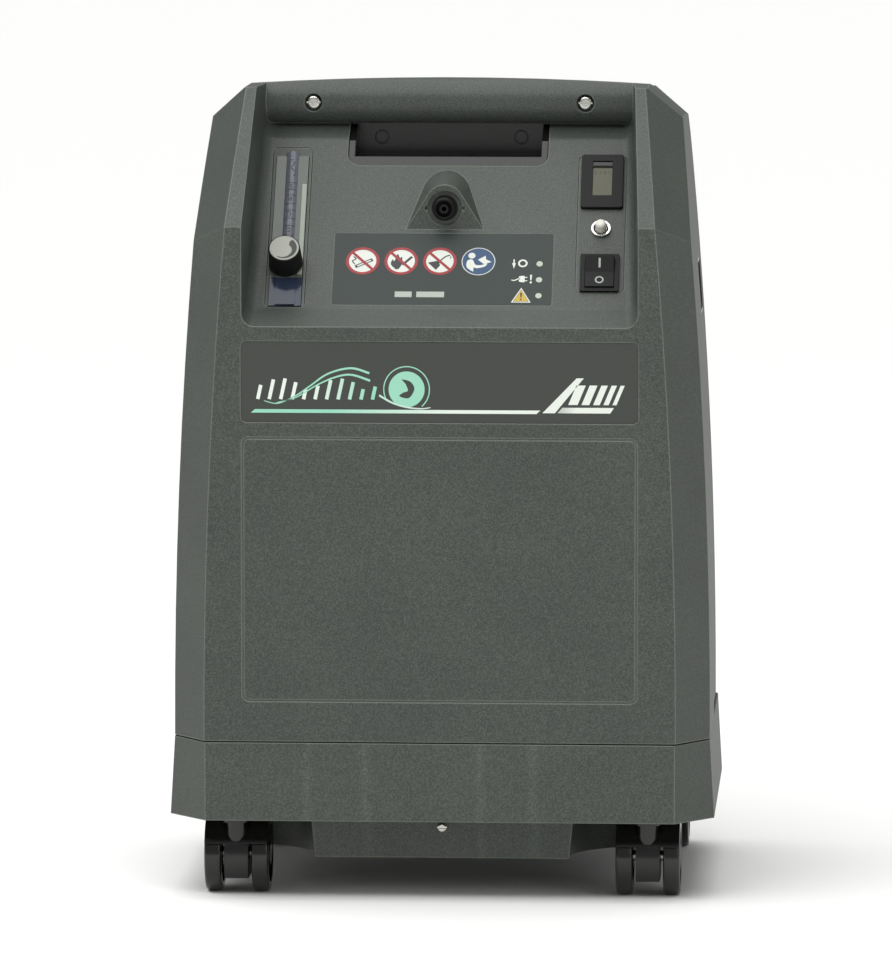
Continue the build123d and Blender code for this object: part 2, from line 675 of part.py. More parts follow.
with BuildPart() as float_ball:
    with BuildSketch(tube_plane(TUBE_LOW + 4 + FLOAT_R + 0.1)):
        Circle(FLOAT_R)
        Rectangle(2 * FLOAT_R, FLOAT_R, align=(Align.CENTER, Align.MAX), mode=Mode.SUBTRACT)
    ball_plane = tube_plane(TUBE_LOW + 4 + FLOAT_R + 0.1)
    revolve(axis=Axis(ball_plane.origin, ball_plane.x_dir), revolution_arc=360)
save(float_ball, "float_ball")

knob_plane = PANEL.offset(KNOB_FOOT).shift_origin(
    PANEL.offset(KNOB_FOOT).from_local_coords((KNOB_X, KNOB_V, 0))
)
with BuildPart() as flow_knob:
    with BuildSketch(knob_plane):
        Circle(KNOB_BASE_R)
    with BuildSketch(knob_plane.offset(KNOB_HIGH)):
        Circle(KNOB_RIM_R)
    loft()
    top_rim = flow_knob.edges().filter_by(GeomType.CIRCLE)
    fillet(top_rim.sort_by_distance(knob_plane.origin)[-1:], 0.5)
    with BuildSketch(knob_plane):
        with PolarLocations(KNOB_BASE_R + 0.35, 36):
            Circle(0.7)
    extrude(amount=KNOB_HIGH - 3, taper=2.2, mode=Mode.SUBTRACT)
    with BuildSketch(knob_plane.offset(KNOB_HIGH - 1)):
        Circle(KNOB_CAP_R)
    extrude(amount=2, mode=Mode.SUBTRACT)
    with BuildSketch(knob_plane.offset(-1)):
        Circle(NEEDLE_R)
    extrude(amount=9, mode=Mode.SUBTRACT)
save(flow_knob, "flow_knob")

with BuildPart() as knob_cap:
    with BuildSketch(knob_plane.offset(KNOB_HIGH - 1)):
        Circle(KNOB_CAP_R)
    extrude(amount=1.1)
save(knob_cap, "knob_cap")

with BuildPart() as needle_stem:
    with BuildSketch(knob_plane.offset(8)):
        Circle(NEEDLE_R)
    extrude(amount=-16)
    tip = needle_stem.edges().filter_by(GeomType.CIRCLE)
    chamfer(tip.sort_by_distance(knob_plane.offset(-8).origin)[:1], 1.8)
save(needle_stem, "needle_stem")

# ----------------------------------------------------------------- switches and meter

METER_W, METER_LOW, METER_HIGH = 27.5, 79.4, 122.0
METER_V = (METER_LOW + METER_HIGH) / 2
LCD_W, LCD_LOW, LCD_HIGH = 13.0, 89.0, 112.0
BREAKER_V, COLLAR_R, BUTTON_R = 63.2, 6.3, 3.5
SWITCH_V, SWITCH_W, SWITCH_L = 27.8, 25.3, 29.4
ROCKER_W, ROCKER_R, ROCKER_TILT = 18.6, 11.9, 8.0
PIVOT_W = 0.9

with BuildPart() as switch_plate:
    with BuildSketch(PANEL.offset(-1.15)):
        with Locations((CONTROL_X, (PLATE_LOW + PLATE_HIGH) / 2)):
            RectangleRounded(PLATE_W - 0.8, PLATE_HIGH - PLATE_LOW - 0.8, 4.1)
    extrude(amount=1.0)
    with BuildSketch(PANEL.offset(-2)):
        with Locations((CONTROL_X, METER_V)):
            Rectangle(22.2, 37.2)
        with Locations((CONTROL_X, BREAKER_V)):
            Circle(4.7)
        with Locations((CONTROL_X, SWITCH_V)):
            Rectangle(20.6, 25.6)
    extrude(amount=4, mode=Mode.SUBTRACT)
save(switch_plate, "switch_plate")

with BuildPart() as hour_meter:
    with BuildSketch(PANEL.offset(-0.15)):
        with Locations((CONTROL_X, METER_V)):
            RectangleRounded(METER_W, METER_HIGH - METER_LOW, 1.8)
    extrude(amount=2.6)
    fillet(hour_meter.faces().sort_by(SortBy.AREA)[-1].outer_wire().edges(), 0.5)
    with BuildSketch(PANEL.offset(-0.15)):
        with Locations((CONTROL_X, METER_V)):
            Rectangle(22, 37)
    extrude(amount=-20)
    with BuildSketch(PANEL.offset(1.2)):
        with Locations((CONTROL_X, (LCD_LOW + LCD_HIGH) / 2)):
            RectangleRounded(LCD_W, LCD_HIGH - LCD_LOW, 0.8)
        with Locations((CONTROL_X, 114.8)):
            Rectangle(LCD_W, 3.6)
    extrude(amount=4, mode=Mode.SUBTRACT)
save(hour_meter, "hour_meter")

with BuildPart() as meter_display:
    with BuildSketch(PANEL.offset(1.2)):
        with Locations((CONTROL_X, (LCD_LOW + LCD_HIGH) / 2)):
            RectangleRounded(LCD_W - 0.2, LCD_HIGH - LCD_LOW - 0.2, 0.7)
        with Locations((CONTROL_X, 114.8)):
            Rectangle(LCD_W - 0.2, 3.4)
    extrude(amount=0.5)
save(meter_display, "meter_display")

with BuildPart() as breaker:
    with BuildSketch(PANEL.offset(-0.15)):
        with Locations((CONTROL_X, BREAKER_V)):
            Circle(COLLAR_R)
    extrude(amount=2.0)
    with BuildSketch(PANEL.offset(0.4)):
        with Locations((CONTROL_X, BREAKER_V)):
            Circle(5.0)
    extrude(amount=3, mode=Mode.SUBTRACT)
    with BuildSketch(PANEL.offset(-14)):
        with Locations((CONTROL_X, BREAKER_V)):
            Circle(4.6)
    extrude(amount=14.2)
    with BuildSketch(PANEL.offset(-14)):
        with Locations((CONTROL_X, BREAKER_V)):
            Rectangle(18, 16)
    extrude(amount=-18)
    with BuildSketch(PANEL.offset(-12)):
        with Locations((CONTROL_X, BREAKER_V)):
            Circle(BUTTON_R + RUNNING)
    extrude(amount=20, mode=Mode.SUBTRACT)
save(breaker, "breaker")

with BuildPart() as breaker_button:
    with BuildSketch(PANEL.offset(-11.5)):
        with Locations((CONTROL_X, BREAKER_V)):
            Circle(BUTTON_R)
    extrude(amount=19.5)
    crown = PANEL.offset(8).from_local_coords((CONTROL_X, BREAKER_V, 0))
    fillet(breaker_button.edges().filter_by(GeomType.CIRCLE).sort_by_distance(crown)[:1], 2.2)
save(breaker_button, "breaker_button")

with BuildPart() as switch_frame:
    with BuildSketch(PANEL.offset(-0.15)):
        with Locations((CONTROL_X, SWITCH_V)):
            RectangleRounded(SWITCH_W, SWITCH_L, 1)
    extrude(amount=2.0)
    with BuildSketch(PANEL.offset(-0.15)):
        with Locations((CONTROL_X, SWITCH_V)):
            Rectangle(20.4, 25.4)
    extrude(amount=-21)
    with BuildSketch(PANEL.offset(-13)):
        with Locations((CONTROL_X, SWITCH_V)):
            Rectangle(ROCKER_W + 0.4, 2 * ROCKER_R + 0.3)
    extrude(amount=20, mode=Mode.SUBTRACT)
save(switch_frame, "switch_frame")

rocker_axis_at = PANEL.from_local_coords((CONTROL_X, SWITCH_V, PIVOT_W))
# The rocker's section: x runs up the slope and y out of the panel, tilted at rest.
rest_lean = radians(SLOPE - ROCKER_TILT)
rocker_plane = Plane(
    origin=rocker_axis_at, x_dir=(0, sin(rest_lean), cos(rest_lean)), z_dir=(1, 0, 0)
)
with BuildPart() as switch_rocker:
    with BuildSketch(rocker_plane.offset(-ROCKER_W / 2)):
        Circle(ROCKER_R)
        with BuildLine():
            Polyline((-14, 20), (-14, 4.1), (0, 1.7), (14, 4.1), (14, 20), close=True)
        make_face(mode=Mode.SUBTRACT)
        with Locations((0, -4)):
            Rectangle(30, 20, align=(Align.CENTER, Align.MAX), mode=Mode.SUBTRACT)
    extrude(amount=ROCKER_W)
    with BuildSketch(rocker_plane.offset(-ROCKER_W / 2 + 3)):
        with Locations((0, -3)):
            Rectangle(9, 9, align=(Align.CENTER, Align.MAX))
    extrude(amount=ROCKER_W - 6)
save(switch_rocker, "switch_rocker")

# ------------------------------------------------------------------------ the outlet

STUB_R, STUB_REACH = 7.14, 9.5
SEAT_DEPTH = OUTLET_DEPTH + OUTLET_WELL

with BuildPart() as outlet_fitting:
    with BuildSketch(facing_front(SEAT_DEPTH - 0.05)):
        with Locations((0, OUTLET_Z)):
            Circle(8.4)
    extrude(amount=1.6)
    with BuildSketch(facing_front(SEAT_DEPTH - 0.05)):
        with Locations((0, OUTLET_Z)):
            Circle(STUB_R)
    extrude(amount=1.6 + STUB_REACH)
    mouth = (0, y_at(SEAT_DEPTH - 1.6 - STUB_REACH), OUTLET_Z)
    chamfer(outlet_fitting.edges().filter_by(GeomType.CIRCLE).sort_by_distance(mouth)[:1], 0.8)
    with BuildSketch(facing_back(SEAT_DEPTH - 0.05)):
        with Locations((0, OUTLET_Z)):
            Circle(OUTLET_BORE - 0.1)
    extrude(amount=10)
    with BuildSketch(facing_back(SEAT_DEPTH + 9)):
        with Locations((0, OUTLET_Z)):
            Circle(3.6)
    extrude(amount=22)
    with BuildSketch(facing_front(SEAT_DEPTH - 3.5)):
        with Locations((0, OUTLET_Z)):
            Circle(5.4)
            Circle(3.0, mode=Mode.SUBTRACT)
    extrude(amount=STUB_REACH + 3, mode=Mode.SUBTRACT)
    with BuildSketch(facing_front(SEAT_DEPTH + 32)):
        with Locations((0, OUTLET_Z)):
            Circle(1.5)
    extrude(amount=60, mode=Mode.SUBTRACT)
save(outlet_fitting, "outlet_fitting")

# ------------------------------------------------------------------ labels and lights

with BuildPart() as icon_label:
    with BuildSketch(PANEL.offset(-0.38)):
        with Locations((0, (LABEL_LOW + LABEL_HIGH) / 2)):
            RectangleRounded(2 * LABEL_HALF - 0.4, LABEL_HIGH - LABEL_LOW - 0.4, 1.3)
        with Locations(*[(LED_X, v) for v in LED_V]):
            Circle(LED_R + 0.1, mode=Mode.SUBTRACT)
    extrude(amount=0.33)
save(icon_label, "icon_label")

with BuildPart() as badge_label:
    with BuildSketch(facing_front(0.68)):
        with Locations((0, (BADGE_LOW + BADGE_HIGH) / 2)):
            RectangleRounded(2 * BADGE_HALF - 0.6, BADGE_HIGH - BADGE_LOW - 0.6, 3.7)
    extrude(amount=0.4)
save(badge_label, "badge_label")

with BuildPart() as indicator_lights:
    with BuildSketch(PANEL.offset(-9)):
        with Locations(*[(LED_X, v) for v in LED_V]):
            Circle(LED_R)
    extrude(amount=9.2)
save(indicator_lights, "indicator_lights")

# ---------------------------------------------------------------- rear face inserts

FRAME_BACK = REAR_FACE - 0.4
with BuildPart() as filter_frame:
    with BuildSketch(facing_front(FRAME_BACK)):
        with Locations((0, FILTER_MID)):
            Rectangle(2 * FILTER_HALF - 1, FILTER_ZS[1] - FILTER_ZS[0] - 1)
            with GridLocations(20, 7, 6, 7):
                SlotOverall(17, 4, mode=Mode.SUBTRACT)
    extrude(amount=4)
    with BuildSketch(facing_back(FRAME_BACK - 1)):
        with Locations((0, FILTER_ZS[0] + 3.2)):
            Rectangle(26, 3)
    extrude(amount=2.2)
save(filter_frame, "filter_frame")

with BuildPart() as filter_foam:
    with BuildSketch(facing_front(FRAME_BACK - 4.1)):
        with Locations((0, FILTER_MID)):
            RectangleRounded(2 * FILTER_HALF - 1.4, FILTER_ZS[1] - FILTER_ZS[0] - 1.4, 2)
    extrude(amount=10)
save(filter_foam, "filter_foam")

with BuildPart() as exhaust_grille:
    with BuildSketch(facing_front(REAR_FACE - 0.2)):
        with Locations((0, VENT_MID)):
            RectangleRounded(2 * VENT_HALF - 0.8, VENT_ZS[1] - VENT_ZS[0] - 0.8, 3.6)
            with GridLocations(66, 7.4, 2, 8):
                SlotOverall(62, 4.6, mode=Mode.SUBTRACT)
    extrude(amount=6)
save(exhaust_grille, "exhaust_grille")

with BuildPart() as cord_gland:
    with BuildSketch(facing_front(REAR_FACE)):
        with Locations((CORD_X, CORD_Z)):
            Circle(CORD_HOLE - 0.3)
    extrude(amount=12)
    with BuildSketch(facing_back(REAR_FACE)):
        with Locations((-CORD_X, CORD_Z)):
            Circle(CORD_HOLE + 3)
    extrude(amount=1.5)
    with BuildSketch(facing_front(DEPTH + 2)):
        with Locations((CORD_X, CORD_Z)):
            Circle(4.2)
    extrude(amount=20, mode=Mode.SUBTRACT)
save(cord_gland, "cord_gland")

# ---------------------------------------------------------------------------- casters

HOOD_IN, HOOD_OUT, HOOD_HALF = 26.4, 27.6, 20.5
HOOD_START, HOOD_SWEEP = 20.0, 140.0
HUB_R, HUB_FLAT = 24.3, 10.7
NECK_R = 6.6


def caster(name, axis_x, axis_depth):
    """One twin-wheel caster, trailing backwards: hood and hub, steel pins, two wheels."""
    axle_y = y_at(axis_depth + TRAIL)
    stem_y = y_at(axis_depth)
    with BuildPart() as housing:
        with BuildSketch(Plane.YZ.offset(axis_x)):
            with Locations((axle_y, WHEEL_R)):
                Circle(HUB_R)
            with Locations((axle_y, HUB_FLAT)):
                Rectangle(60, 40, align=(Align.CENTER, Align.MAX), mode=Mode.SUBTRACT)
        extrude(amount=HUB_W / 2, both=True)
        with BuildSketch(Plane.YZ.offset(axis_x)):
            with BuildLine():
                outer = CenterArc((axle_y, WHEEL_R), HOOD_OUT, HOOD_START, HOOD_SWEEP)
                inner = CenterArc((axle_y, WHEEL_R), HOOD_IN, HOOD_START, HOOD_SWEEP)
                Line(outer @ 0, inner @ 0)
                Line(outer @ 1, inner @ 1)
            make_face()
        extrude(amount=HOOD_HALF, both=True)
        with BuildSketch(Plane.YZ.offset(axis_x)):
            with BuildLine():
                sector = CenterArc((axle_y, WHEEL_R), HOOD_IN + 0.5, HOOD_START, HOOD_SWEEP)
                Line(sector @ 0, (axle_y, WHEEL_R))
                Line((axle_y, WHEEL_R), sector @ 1)
            make_face()
        extrude(amount=HUB_W / 2, both=True)
        with BuildSketch(Plane.XY.offset(36)):
            with Locations((axis_x, stem_y)):
                Circle(NECK_R)
        extrude(amount=21)
        with BuildSketch(Plane.XY.offset(48)):
            with Locations((axis_x, stem_y)):
                Circle(9)
        extrude(amount=9)
        with BuildSketch(Plane.XY.offset(39)):
            with Locations((axis_x, stem_y)):
                Circle(STEM_R + RUNNING)
        extrude(amount=20, mode=Mode.SUBTRACT)
        with BuildSketch(Plane.YZ.offset(axis_x)):
            with Locations((axle_y, WHEEL_R)):
                Circle(AXLE_R + RUNNING)
        extrude(amount=HUB_W, both=True, mode=Mode.SUBTRACT)
    save(housing, f"{name}_housing")

    with BuildPart() as pins:
        with BuildSketch(Plane.XY.offset(39.1)):
            with Locations((axis_x, stem_y)):
                Circle(STEM_R)
        extrude(amount=STEM_TOP - 39.1)
        chamfer(pins.faces().sort_by(Axis.Z)[-1].edges(), 1)
        with BuildSketch(Plane.YZ.offset(axis_x)):
            with Locations((axle_y, WHEEL_R)):
                Circle(AXLE_R)
        extrude(amount=HUB_W / 2 + WHEEL_GAP + WHEEL_W - 2.4, both=True)
    save(pins, f"{name}_pins")

    for hand, side in (("left", -1), ("right", 1)):
        inner_x = axis_x + side * (HUB_W / 2 + WHEEL_GAP)
        outer_x = inner_x + side * WHEEL_W
        with BuildPart() as wheel:
            with BuildSketch(Plane.YZ.offset(inner_x)):
                with Locations((axle_y, WHEEL_R)):
                    Circle(WHEEL_R)
            extrude(amount=side * WHEEL_W)
            tread_edges = wheel.edges().filter_by(GeomType.CIRCLE)
            fillet(tread_edges, 2.2)
            with BuildSketch(Plane.YZ.offset(outer_x)):
                with Locations((axle_y, WHEEL_R)):
                    Circle(19.5)
                    Circle(8.0, mode=Mode.SUBTRACT)
            extrude(amount=-side * 1.6, mode=Mode.SUBTRACT)
            with BuildSketch(Plane.YZ.offset(inner_x)):
                with Locations((axle_y, WHEEL_R)):
                    Circle(19.5)
                    Circle(8.0, mode=Mode.SUBTRACT)
            extrude(amount=side * 5, mode=Mode.SUBTRACT)
            with BuildSketch(Plane.YZ.offset(inner_x)):
                with Locations((axle_y, WHEEL_R)):
                    Circle(AXLE_R + RUNNING)
            extrude(amount=side * (WHEEL_W - 2), mode=Mode.SUBTRACT)
        save(wheel, f"{name}_wheel_{hand}")


for place, caster_depth in CASTER_DEPTHS.items():
    for hand, side in (("left", -1), ("right", 1)):
        caster(f"{place}_{hand}", side * CASTER_X, caster_depth)

# -------------------------------------------------------------------------- compressor

SHAFT_DEPTH, SHAFT_Z, SHAFT_R = 100.0, 108.0, 6.0
MOTOR_R, MOTOR_HALF = 42.0, 32.0
CRANK_HALF = 62.0  # the crankcases run from the motor's ends to here
HEAD_X, HEAD_TOP = 47.0, 192.0
CRADLE_Z = 50.0
PAN_TOP = PAN_Z + WALL
SPRING_SPOTS = [(x, SHAFT_DEPTH + d) for x in (-60, 60) for d in (-36, 36)]
FAN_X, FAN_R, FAN_W = 68.0, 36.0, 12.0

with BuildPart() as compressor_springs:
    for spot_x, spot_depth in SPRING_SPOTS:
        with BuildLine() as coil:
            Helix(
                pitch=5.1,
                height=CRADLE_Z - PAN_TOP - 4.4,
                radius=7.5,
                center=(spot_x, y_at(spot_depth), PAN_TOP + 2.2),
            )
        with BuildSketch(Plane(origin=coil.line @ 0, z_dir=coil.line % 0)):
            Circle(1.1)
        sweep(path=coil.line)
save(compressor_springs, "compressor_springs")

with BuildPart() as compressor_cradle:
    with BuildSketch(Plane.XY.offset(CRADLE_Z)):
        with Locations((0, y_at(SHAFT_DEPTH))):
            RectangleRounded(148, 96, 8)
            Rectangle(50, 50, mode=Mode.SUBTRACT)
    extrude(amount=3)
    for side in (-1, 1):
        with BuildSketch(Plane.YZ.offset(side * HEAD_X)):
            with Locations((y_at(SHAFT_DEPTH), (CRADLE_Z + 76) / 2)):
                Rectangle(54, 76 - CRADLE_Z)
        extrude(amount=9, both=True)
    with BuildSketch(Plane.XY.offset(CRADLE_Z)):
        with Locations(*[(x, y_at(d)) for x, d in SPRING_SPOTS]):
            Circle(6)
    extrude(amount=-5)
save(compressor_cradle, "compressor_cradle")

with BuildPart() as compressor_motor:
    with BuildSketch(Plane.YZ.offset(-MOTOR_HALF + 0.2)):
        with Locations((y_at(SHAFT_DEPTH), SHAFT_Z)):
            Circle(MOTOR_R)
            Circle(SHAFT_R + 1, mode=Mode.SUBTRACT)
    extrude(amount=2 * MOTOR_HALF - 0.4)
    for side in (-1, 1):
        with BuildSketch(Plane.YZ.offset(side * 12)):
            with Locations((y_at(SHAFT_DEPTH), SHAFT_Z)):
                Circle(MOTOR_R + 1)
                Circle(MOTOR_R - 4, mode=Mode.SUBTRACT)
        extrude(amount=side * 3, mode=Mode.SUBTRACT)
save(compressor_motor, "compressor_motor")

with BuildPart() as compressor_heads:
    for side in (-1, 1):
        with BuildSketch(Plane.YZ.offset(side * MOTOR_HALF)):
            with Locations((y_at(SHAFT_DEPTH), SHAFT_Z)):
                RectangleRounded(62, 64, 12)
        extrude(amount=side * (CRANK_HALF - MOTOR_HALF))
        with BuildSketch(Plane.XY.offset(SHAFT_Z + 31)):
            with Locations((side * HEAD_X, y_at(SHAFT_DEPTH))):
                Circle(15)
        extrude(amount=HEAD_TOP - 14 - SHAFT_Z - 31)
        for fin in range(5):
            with BuildSketch(Plane.XY.offset(SHAFT_Z + 36 + 6 * fin)):
                with Locations((side * HEAD_X, y_at(SHAFT_DEPTH))):
                    RectangleRounded(30, 52, 5)
            extrude(amount=2)
        with BuildSketch(Plane.XY.offset(HEAD_TOP - 14)):
            with Locations((side * HEAD_X, y_at(SHAFT_DEPTH))):
                RectangleRounded(30, 54, 5)
        extrude(amount=14)
    with BuildSketch(Plane.YZ.offset(-CRANK_HALF - 1)):
        with Locations((y_at(SHAFT_DEPTH), SHAFT_Z)):
            Circle(SHAFT_R + RUNNING)
    extrude(amount=2 * CRANK_HALF + 2, mode=Mode.SUBTRACT)
save(compressor_heads, "compressor_heads")

with BuildPart() as compressor_rotor:
    with BuildSketch(Plane.YZ.offset(-FAN_X - FAN_W - 4)):
        with Locations((y_at(SHAFT_DEPTH), SHAFT_Z)):
            Circle(SHAFT_R)
    extrude(amount=2 * (FAN_X + FAN_W + 4))
    for side in (-1, 1):
        with BuildSketch(Plane.YZ.offset(side * FAN_X)):
            with Locations((y_at(SHAFT_DEPTH), SHAFT_Z)):
                Circle(12)
                with PolarLocations(23, 7):
                    Rectangle(25, 3)
                Circle(FAN_R)
                Circle(FAN_R - 1.6, mode=Mode.SUBTRACT)
                with PolarLocations(23, 7):
                    Rectangle(24, 3)
                Circle(12)
        extrude(amount=side * FAN_W)
save(compressor_rotor, "compressor_rotor")

# ----------------------------------------------------------------- shelf, fan and coil

SHELF_Z = 238.0
SHELF_DEPTHS = (45.0, 205.0)
SHELF_HALF = 160.0
POST_SPOTS = [(x, d) for x in (-154, 154) for d in (82, 196)]
COOL_X, COOL_DEPTH, COOL_R = -92.0, 120.0, 43.0
SHELF_MID = y_at(sum(SHELF_DEPTHS) / 2)

with BuildPart() as support_shelf:
    with BuildSketch(Plane.XY.offset(SHELF_Z)):
        with Locations((0, SHELF_MID)):
            RectangleRounded(2 * SHELF_HALF, SHELF_DEPTHS[1] - SHELF_DEPTHS[0], 6)
        with Locations((COOL_X, y_at(COOL_DEPTH))):
            Circle(COOL_R + 1, mode=Mode.SUBTRACT)
    extrude(amount=2)
    with BuildSketch(Plane.XY.offset(SHELF_Z - 12)):
        with Locations((0, y_at(SHELF_DEPTHS[0] + 1)), (0, y_at(SHELF_DEPTHS[1] - 1))):
            Rectangle(2 * SHELF_HALF - 12, 2)
    extrude(amount=12)
    with BuildSketch(Plane.XY.offset(DECK_Z + WALL)):
        with Locations(*[(x, y_at(d)) for x, d in POST_SPOTS]):
            Circle(5)
    extrude(amount=SHELF_Z - DECK_Z - WALL)
save(support_shelf, "support_shelf")

with BuildPart() as fan_frame:
    with BuildSketch(Plane.XY.offset(SHELF_Z + 2)):
        with Locations((COOL_X, y_at(COOL_DEPTH))):
            RectangleRounded(94, 94, 5)
            Circle(COOL_R, mode=Mode.SUBTRACT)
    extrude(amount=25)
    with BuildSketch(Plane.XY.offset(SHELF_Z + 2)):
        with Locations((COOL_X, y_at(COOL_DEPTH))):
            Circle(17)
            with PolarLocations(30, 4, start_angle=45):
                Rectangle(30, 4)
    extrude(amount=4)
    with BuildSketch(Plane.XY.offset(SHELF_Z + 6)):
        with Locations((COOL_X, y_at(COOL_DEPTH))):
            Circle(3)
    extrude(amount=12)
save(fan_frame, "fan_frame")

with BuildPart() as fan_impeller:
    with BuildSketch(Plane.XY.offset(SHELF_Z + 6.6)):
        with Locations((COOL_X, y_at(COOL_DEPTH))):
            Circle(16)
            with PolarLocations(28, 7):
                Rectangle(28, 5)
    extrude(amount=18)
    with BuildSketch(Plane.XY.offset(SHELF_Z + 6)):
        with Locations((COOL_X, y_at(COOL_DEPTH))):
            Circle(3 + RUNNING)
    extrude(amount=12.5, mode=Mode.SUBTRACT)
save(fan_impeller, "fan_impeller")

COIL_Z, COIL_R, COIL_PITCH, COIL_RUNS = 276.0, 4.0, 20.0, 5
with BuildPart() as cooling_coil:
    with BuildLine() as coil_path:
        route = []
        for run in range(COIL_RUNS):
            ends = [COOL_X - 46, COOL_X + 46]
            row_y = y_at(COOL_DEPTH + COIL_PITCH * (run - (COIL_RUNS - 1) / 2))
            if run % 2:
                ends.reverse()
            route += [(x, row_y, COIL_Z) for x in ends]
        FilletPolyline(*route, radius=COIL_PITCH / 2 - 0.2)
    with BuildSketch(Plane(origin=coil_path.line @ 0, z_dir=coil_path.line % 0)):
        Circle(COIL_R)
    sweep(path=coil_path.line)
    with BuildSketch(Plane.XY.offset(SHELF_Z + 27.2)):
        with Locations((COOL_X - 34, y_at(COOL_DEPTH)), (COOL_X + 34, y_at(COOL_DEPTH))):
            Rectangle(4, 92)
    extrude(amount=COIL_Z - SHELF_Z - 27.2)
save(cooling_coil, "cooling_coil")

# --------------------------------------------------------------- sieve beds and valves

BED_X, BED_DEPTH, BED_R = 75.0, 243.0, 36.0
BED_LOW, BED_HIGH = DECK_Z + WALL + 0.2, 372.0
TANK_R, TANK_HIGH = 30.0, 330.0

with BuildPart() as sieve_beds:
    with BuildSketch(Plane.XY.offset(BED_LOW)):
        with Locations((-BED_X, y_at(BED_DEPTH)), (BED_X, y_at(BED_DEPTH))):
            Circle(BED_R - 2)
    extrude(amount=BED_HIGH - BED_LOW)
    for level in (BED_LOW, BED_HIGH - 12):
        with BuildSketch(Plane.XY.offset(level)):
            with Locations((-BED_X, y_at(BED_DEPTH)), (BED_X, y_at(BED_DEPTH))):
                Circle(BED_R)
        extrude(amount=12)
save(sieve_beds, "sieve_beds")

with BuildPart() as product_tank:
    with BuildSketch(Plane.XY.offset(BED_LOW)):
        with Locations((0, y_at(BED_DEPTH))):
            Circle(TANK_R)
    extrude(amount=TANK_HIGH - BED_LOW)
    fillet(product_tank.faces().sort_by(Axis.Z)[-1].edges(), 9)
    with BuildSketch(Plane.XY.offset(TANK_HIGH - 1)):
        with Locations((0, y_at(BED_DEPTH))):
            RectangleRounded(26, 26, 3)
    extrude(amount=24)
    with BuildSketch(Plane.XY.offset(TANK_HIGH + 23)):
        with Locations((0, y_at(BED_DEPTH))):
            Circle(7)
    extrude(amount=12)
save(product_tank, "product_tank")

MANIFOLD_LOW, MANIFOLD_HIGH = 376.0, 398.0
MANIFOLD_DEPTHS = (226.0, 262.0)
with BuildPart() as valve_manifold:
    with BuildSketch(Plane.XY.offset(MANIFOLD_LOW)):
        with Locations((0, y_at(sum(MANIFOLD_DEPTHS) / 2))):
            RectangleRounded(200, MANIFOLD_DEPTHS[1] - MANIFOLD_DEPTHS[0], 4)
    extrude(amount=MANIFOLD_HIGH - MANIFOLD_LOW)
    with BuildSketch(Plane.XY.offset(BED_HIGH + 0.1)):
        with Locations((-BED_X, y_at(BED_DEPTH)), (BED_X, y_at(BED_DEPTH))):
            Circle(12)
    extrude(amount=MANIFOLD_LOW - BED_HIGH)
save(valve_manifold, "valve_manifold")

with BuildPart() as solenoid_valves:
    for valve_x in (-72, -24, 24, 72):
        with BuildSketch(Plane.XY.offset(MANIFOLD_HIGH + 0.1)):
            with Locations((valve_x, y_at(BED_DEPTH))):
                RectangleRounded(26, 30, 3)
        extrude(amount=8)
        with BuildSketch(Plane.XY.offset(MANIFOLD_HIGH + 8)):
            with Locations((valve_x, y_at(BED_DEPTH))):
                Circle(11)
        extrude(amount=26)
        with BuildSketch(Plane.XY.offset(MANIFOLD_HIGH + 34)):
            with Locations((valve_x, y_at(BED_DEPTH))):
                Circle(4)
        extrude(amount=4)
save(solenoid_valves, "solenoid_valves")

with BuildPart() as exhaust_muffler:
    with BuildSketch(Plane.XY.offset(PAN_TOP + 0.2)):
        with Locations((119, y_at(146))):
            Circle(15)
    extrude(amount=110)
    fillet(exhaust_muffler.faces().sort_by(Axis.Z)[-1].edges(), 4)
    with BuildSketch(Plane.XY.offset(PAN_TOP + 108)):
        with Locations((119, y_at(146))):
            Circle(5)
    extrude(amount=14)
save(exhaust_muffler, "exhaust_muffler")

# ---------------------------------------------------------------------- circuit board

BOARD_Z = SHELF_Z + 12
BOARD_X, BOARD_DEPTH = 66.0, 125.0
with BuildPart() as circuit_board:
    with BuildSketch(Plane.XY.offset(BOARD_Z)):
        with Locations((BOARD_X, y_at(BOARD_DEPTH))):
            Rectangle(140, 110)
    extrude(amount=1.6)
    with BuildSketch(Plane.XY.offset(SHELF_Z + 2.05)):
        with Locations((BOARD_X, y_at(BOARD_DEPTH))):
            with GridLocations(128, 98, 2, 2):
                Circle(3)
    extrude(amount=BOARD_Z - SHELF_Z - 2.05)
    with BuildSketch(Plane.XY.offset(BOARD_Z + 1.6)):
        with Locations((BOARD_X + 44, y_at(BOARD_DEPTH + 26))):
            Rectangle(40, 36)
    extrude(amount=30)
    with BuildSketch(Plane.XY.offset(BOARD_Z + 1.6)):
        with Locations((BOARD_X, y_at(BOARD_DEPTH + 30))):
            with GridLocations(22, 0, 2, 1):
                Circle(8)
        with Locations((BOARD_X - 46, y_at(BOARD_DEPTH + 28))):
            Circle(12)
    extrude(amount=22)
    with BuildSketch(Plane.XY.offset(BOARD_Z + 1.6)):
        with Locations((BOARD_X - 6, y_at(BOARD_DEPTH - 22))):
            with GridLocations(34, 24, 4, 2):
                Rectangle(20, 9)
    extrude(amount=3.5)
save(circuit_board, "circuit_board")

# ------------------------------------------------------------------------------ hoses

HOSE_R = 4.5
METER_INLET = PANEL.offset(BLOCK_BACK - 0.1).from_local_coords((-CONTROL_X, 11, 0))
METER_OUTLET = PANEL.offset(BLOCK_BACK - 0.1).from_local_coords((-CONTROL_X, 112, 0))
BEHIND = PANEL.z_dir * -26
HOSE_ROUTES = [
    [(-HEAD_X, 100, 192.1), (-HEAD_X, 100, 216), (-38, 212, 218), (-38, 212, 387), (-38, 225.9, 387)],
    [(HEAD_X, 100, 192.1), (HEAD_X, 100, 216), (38, 212, 218), (38, 212, 387), (38, 225.9, 387)],
]

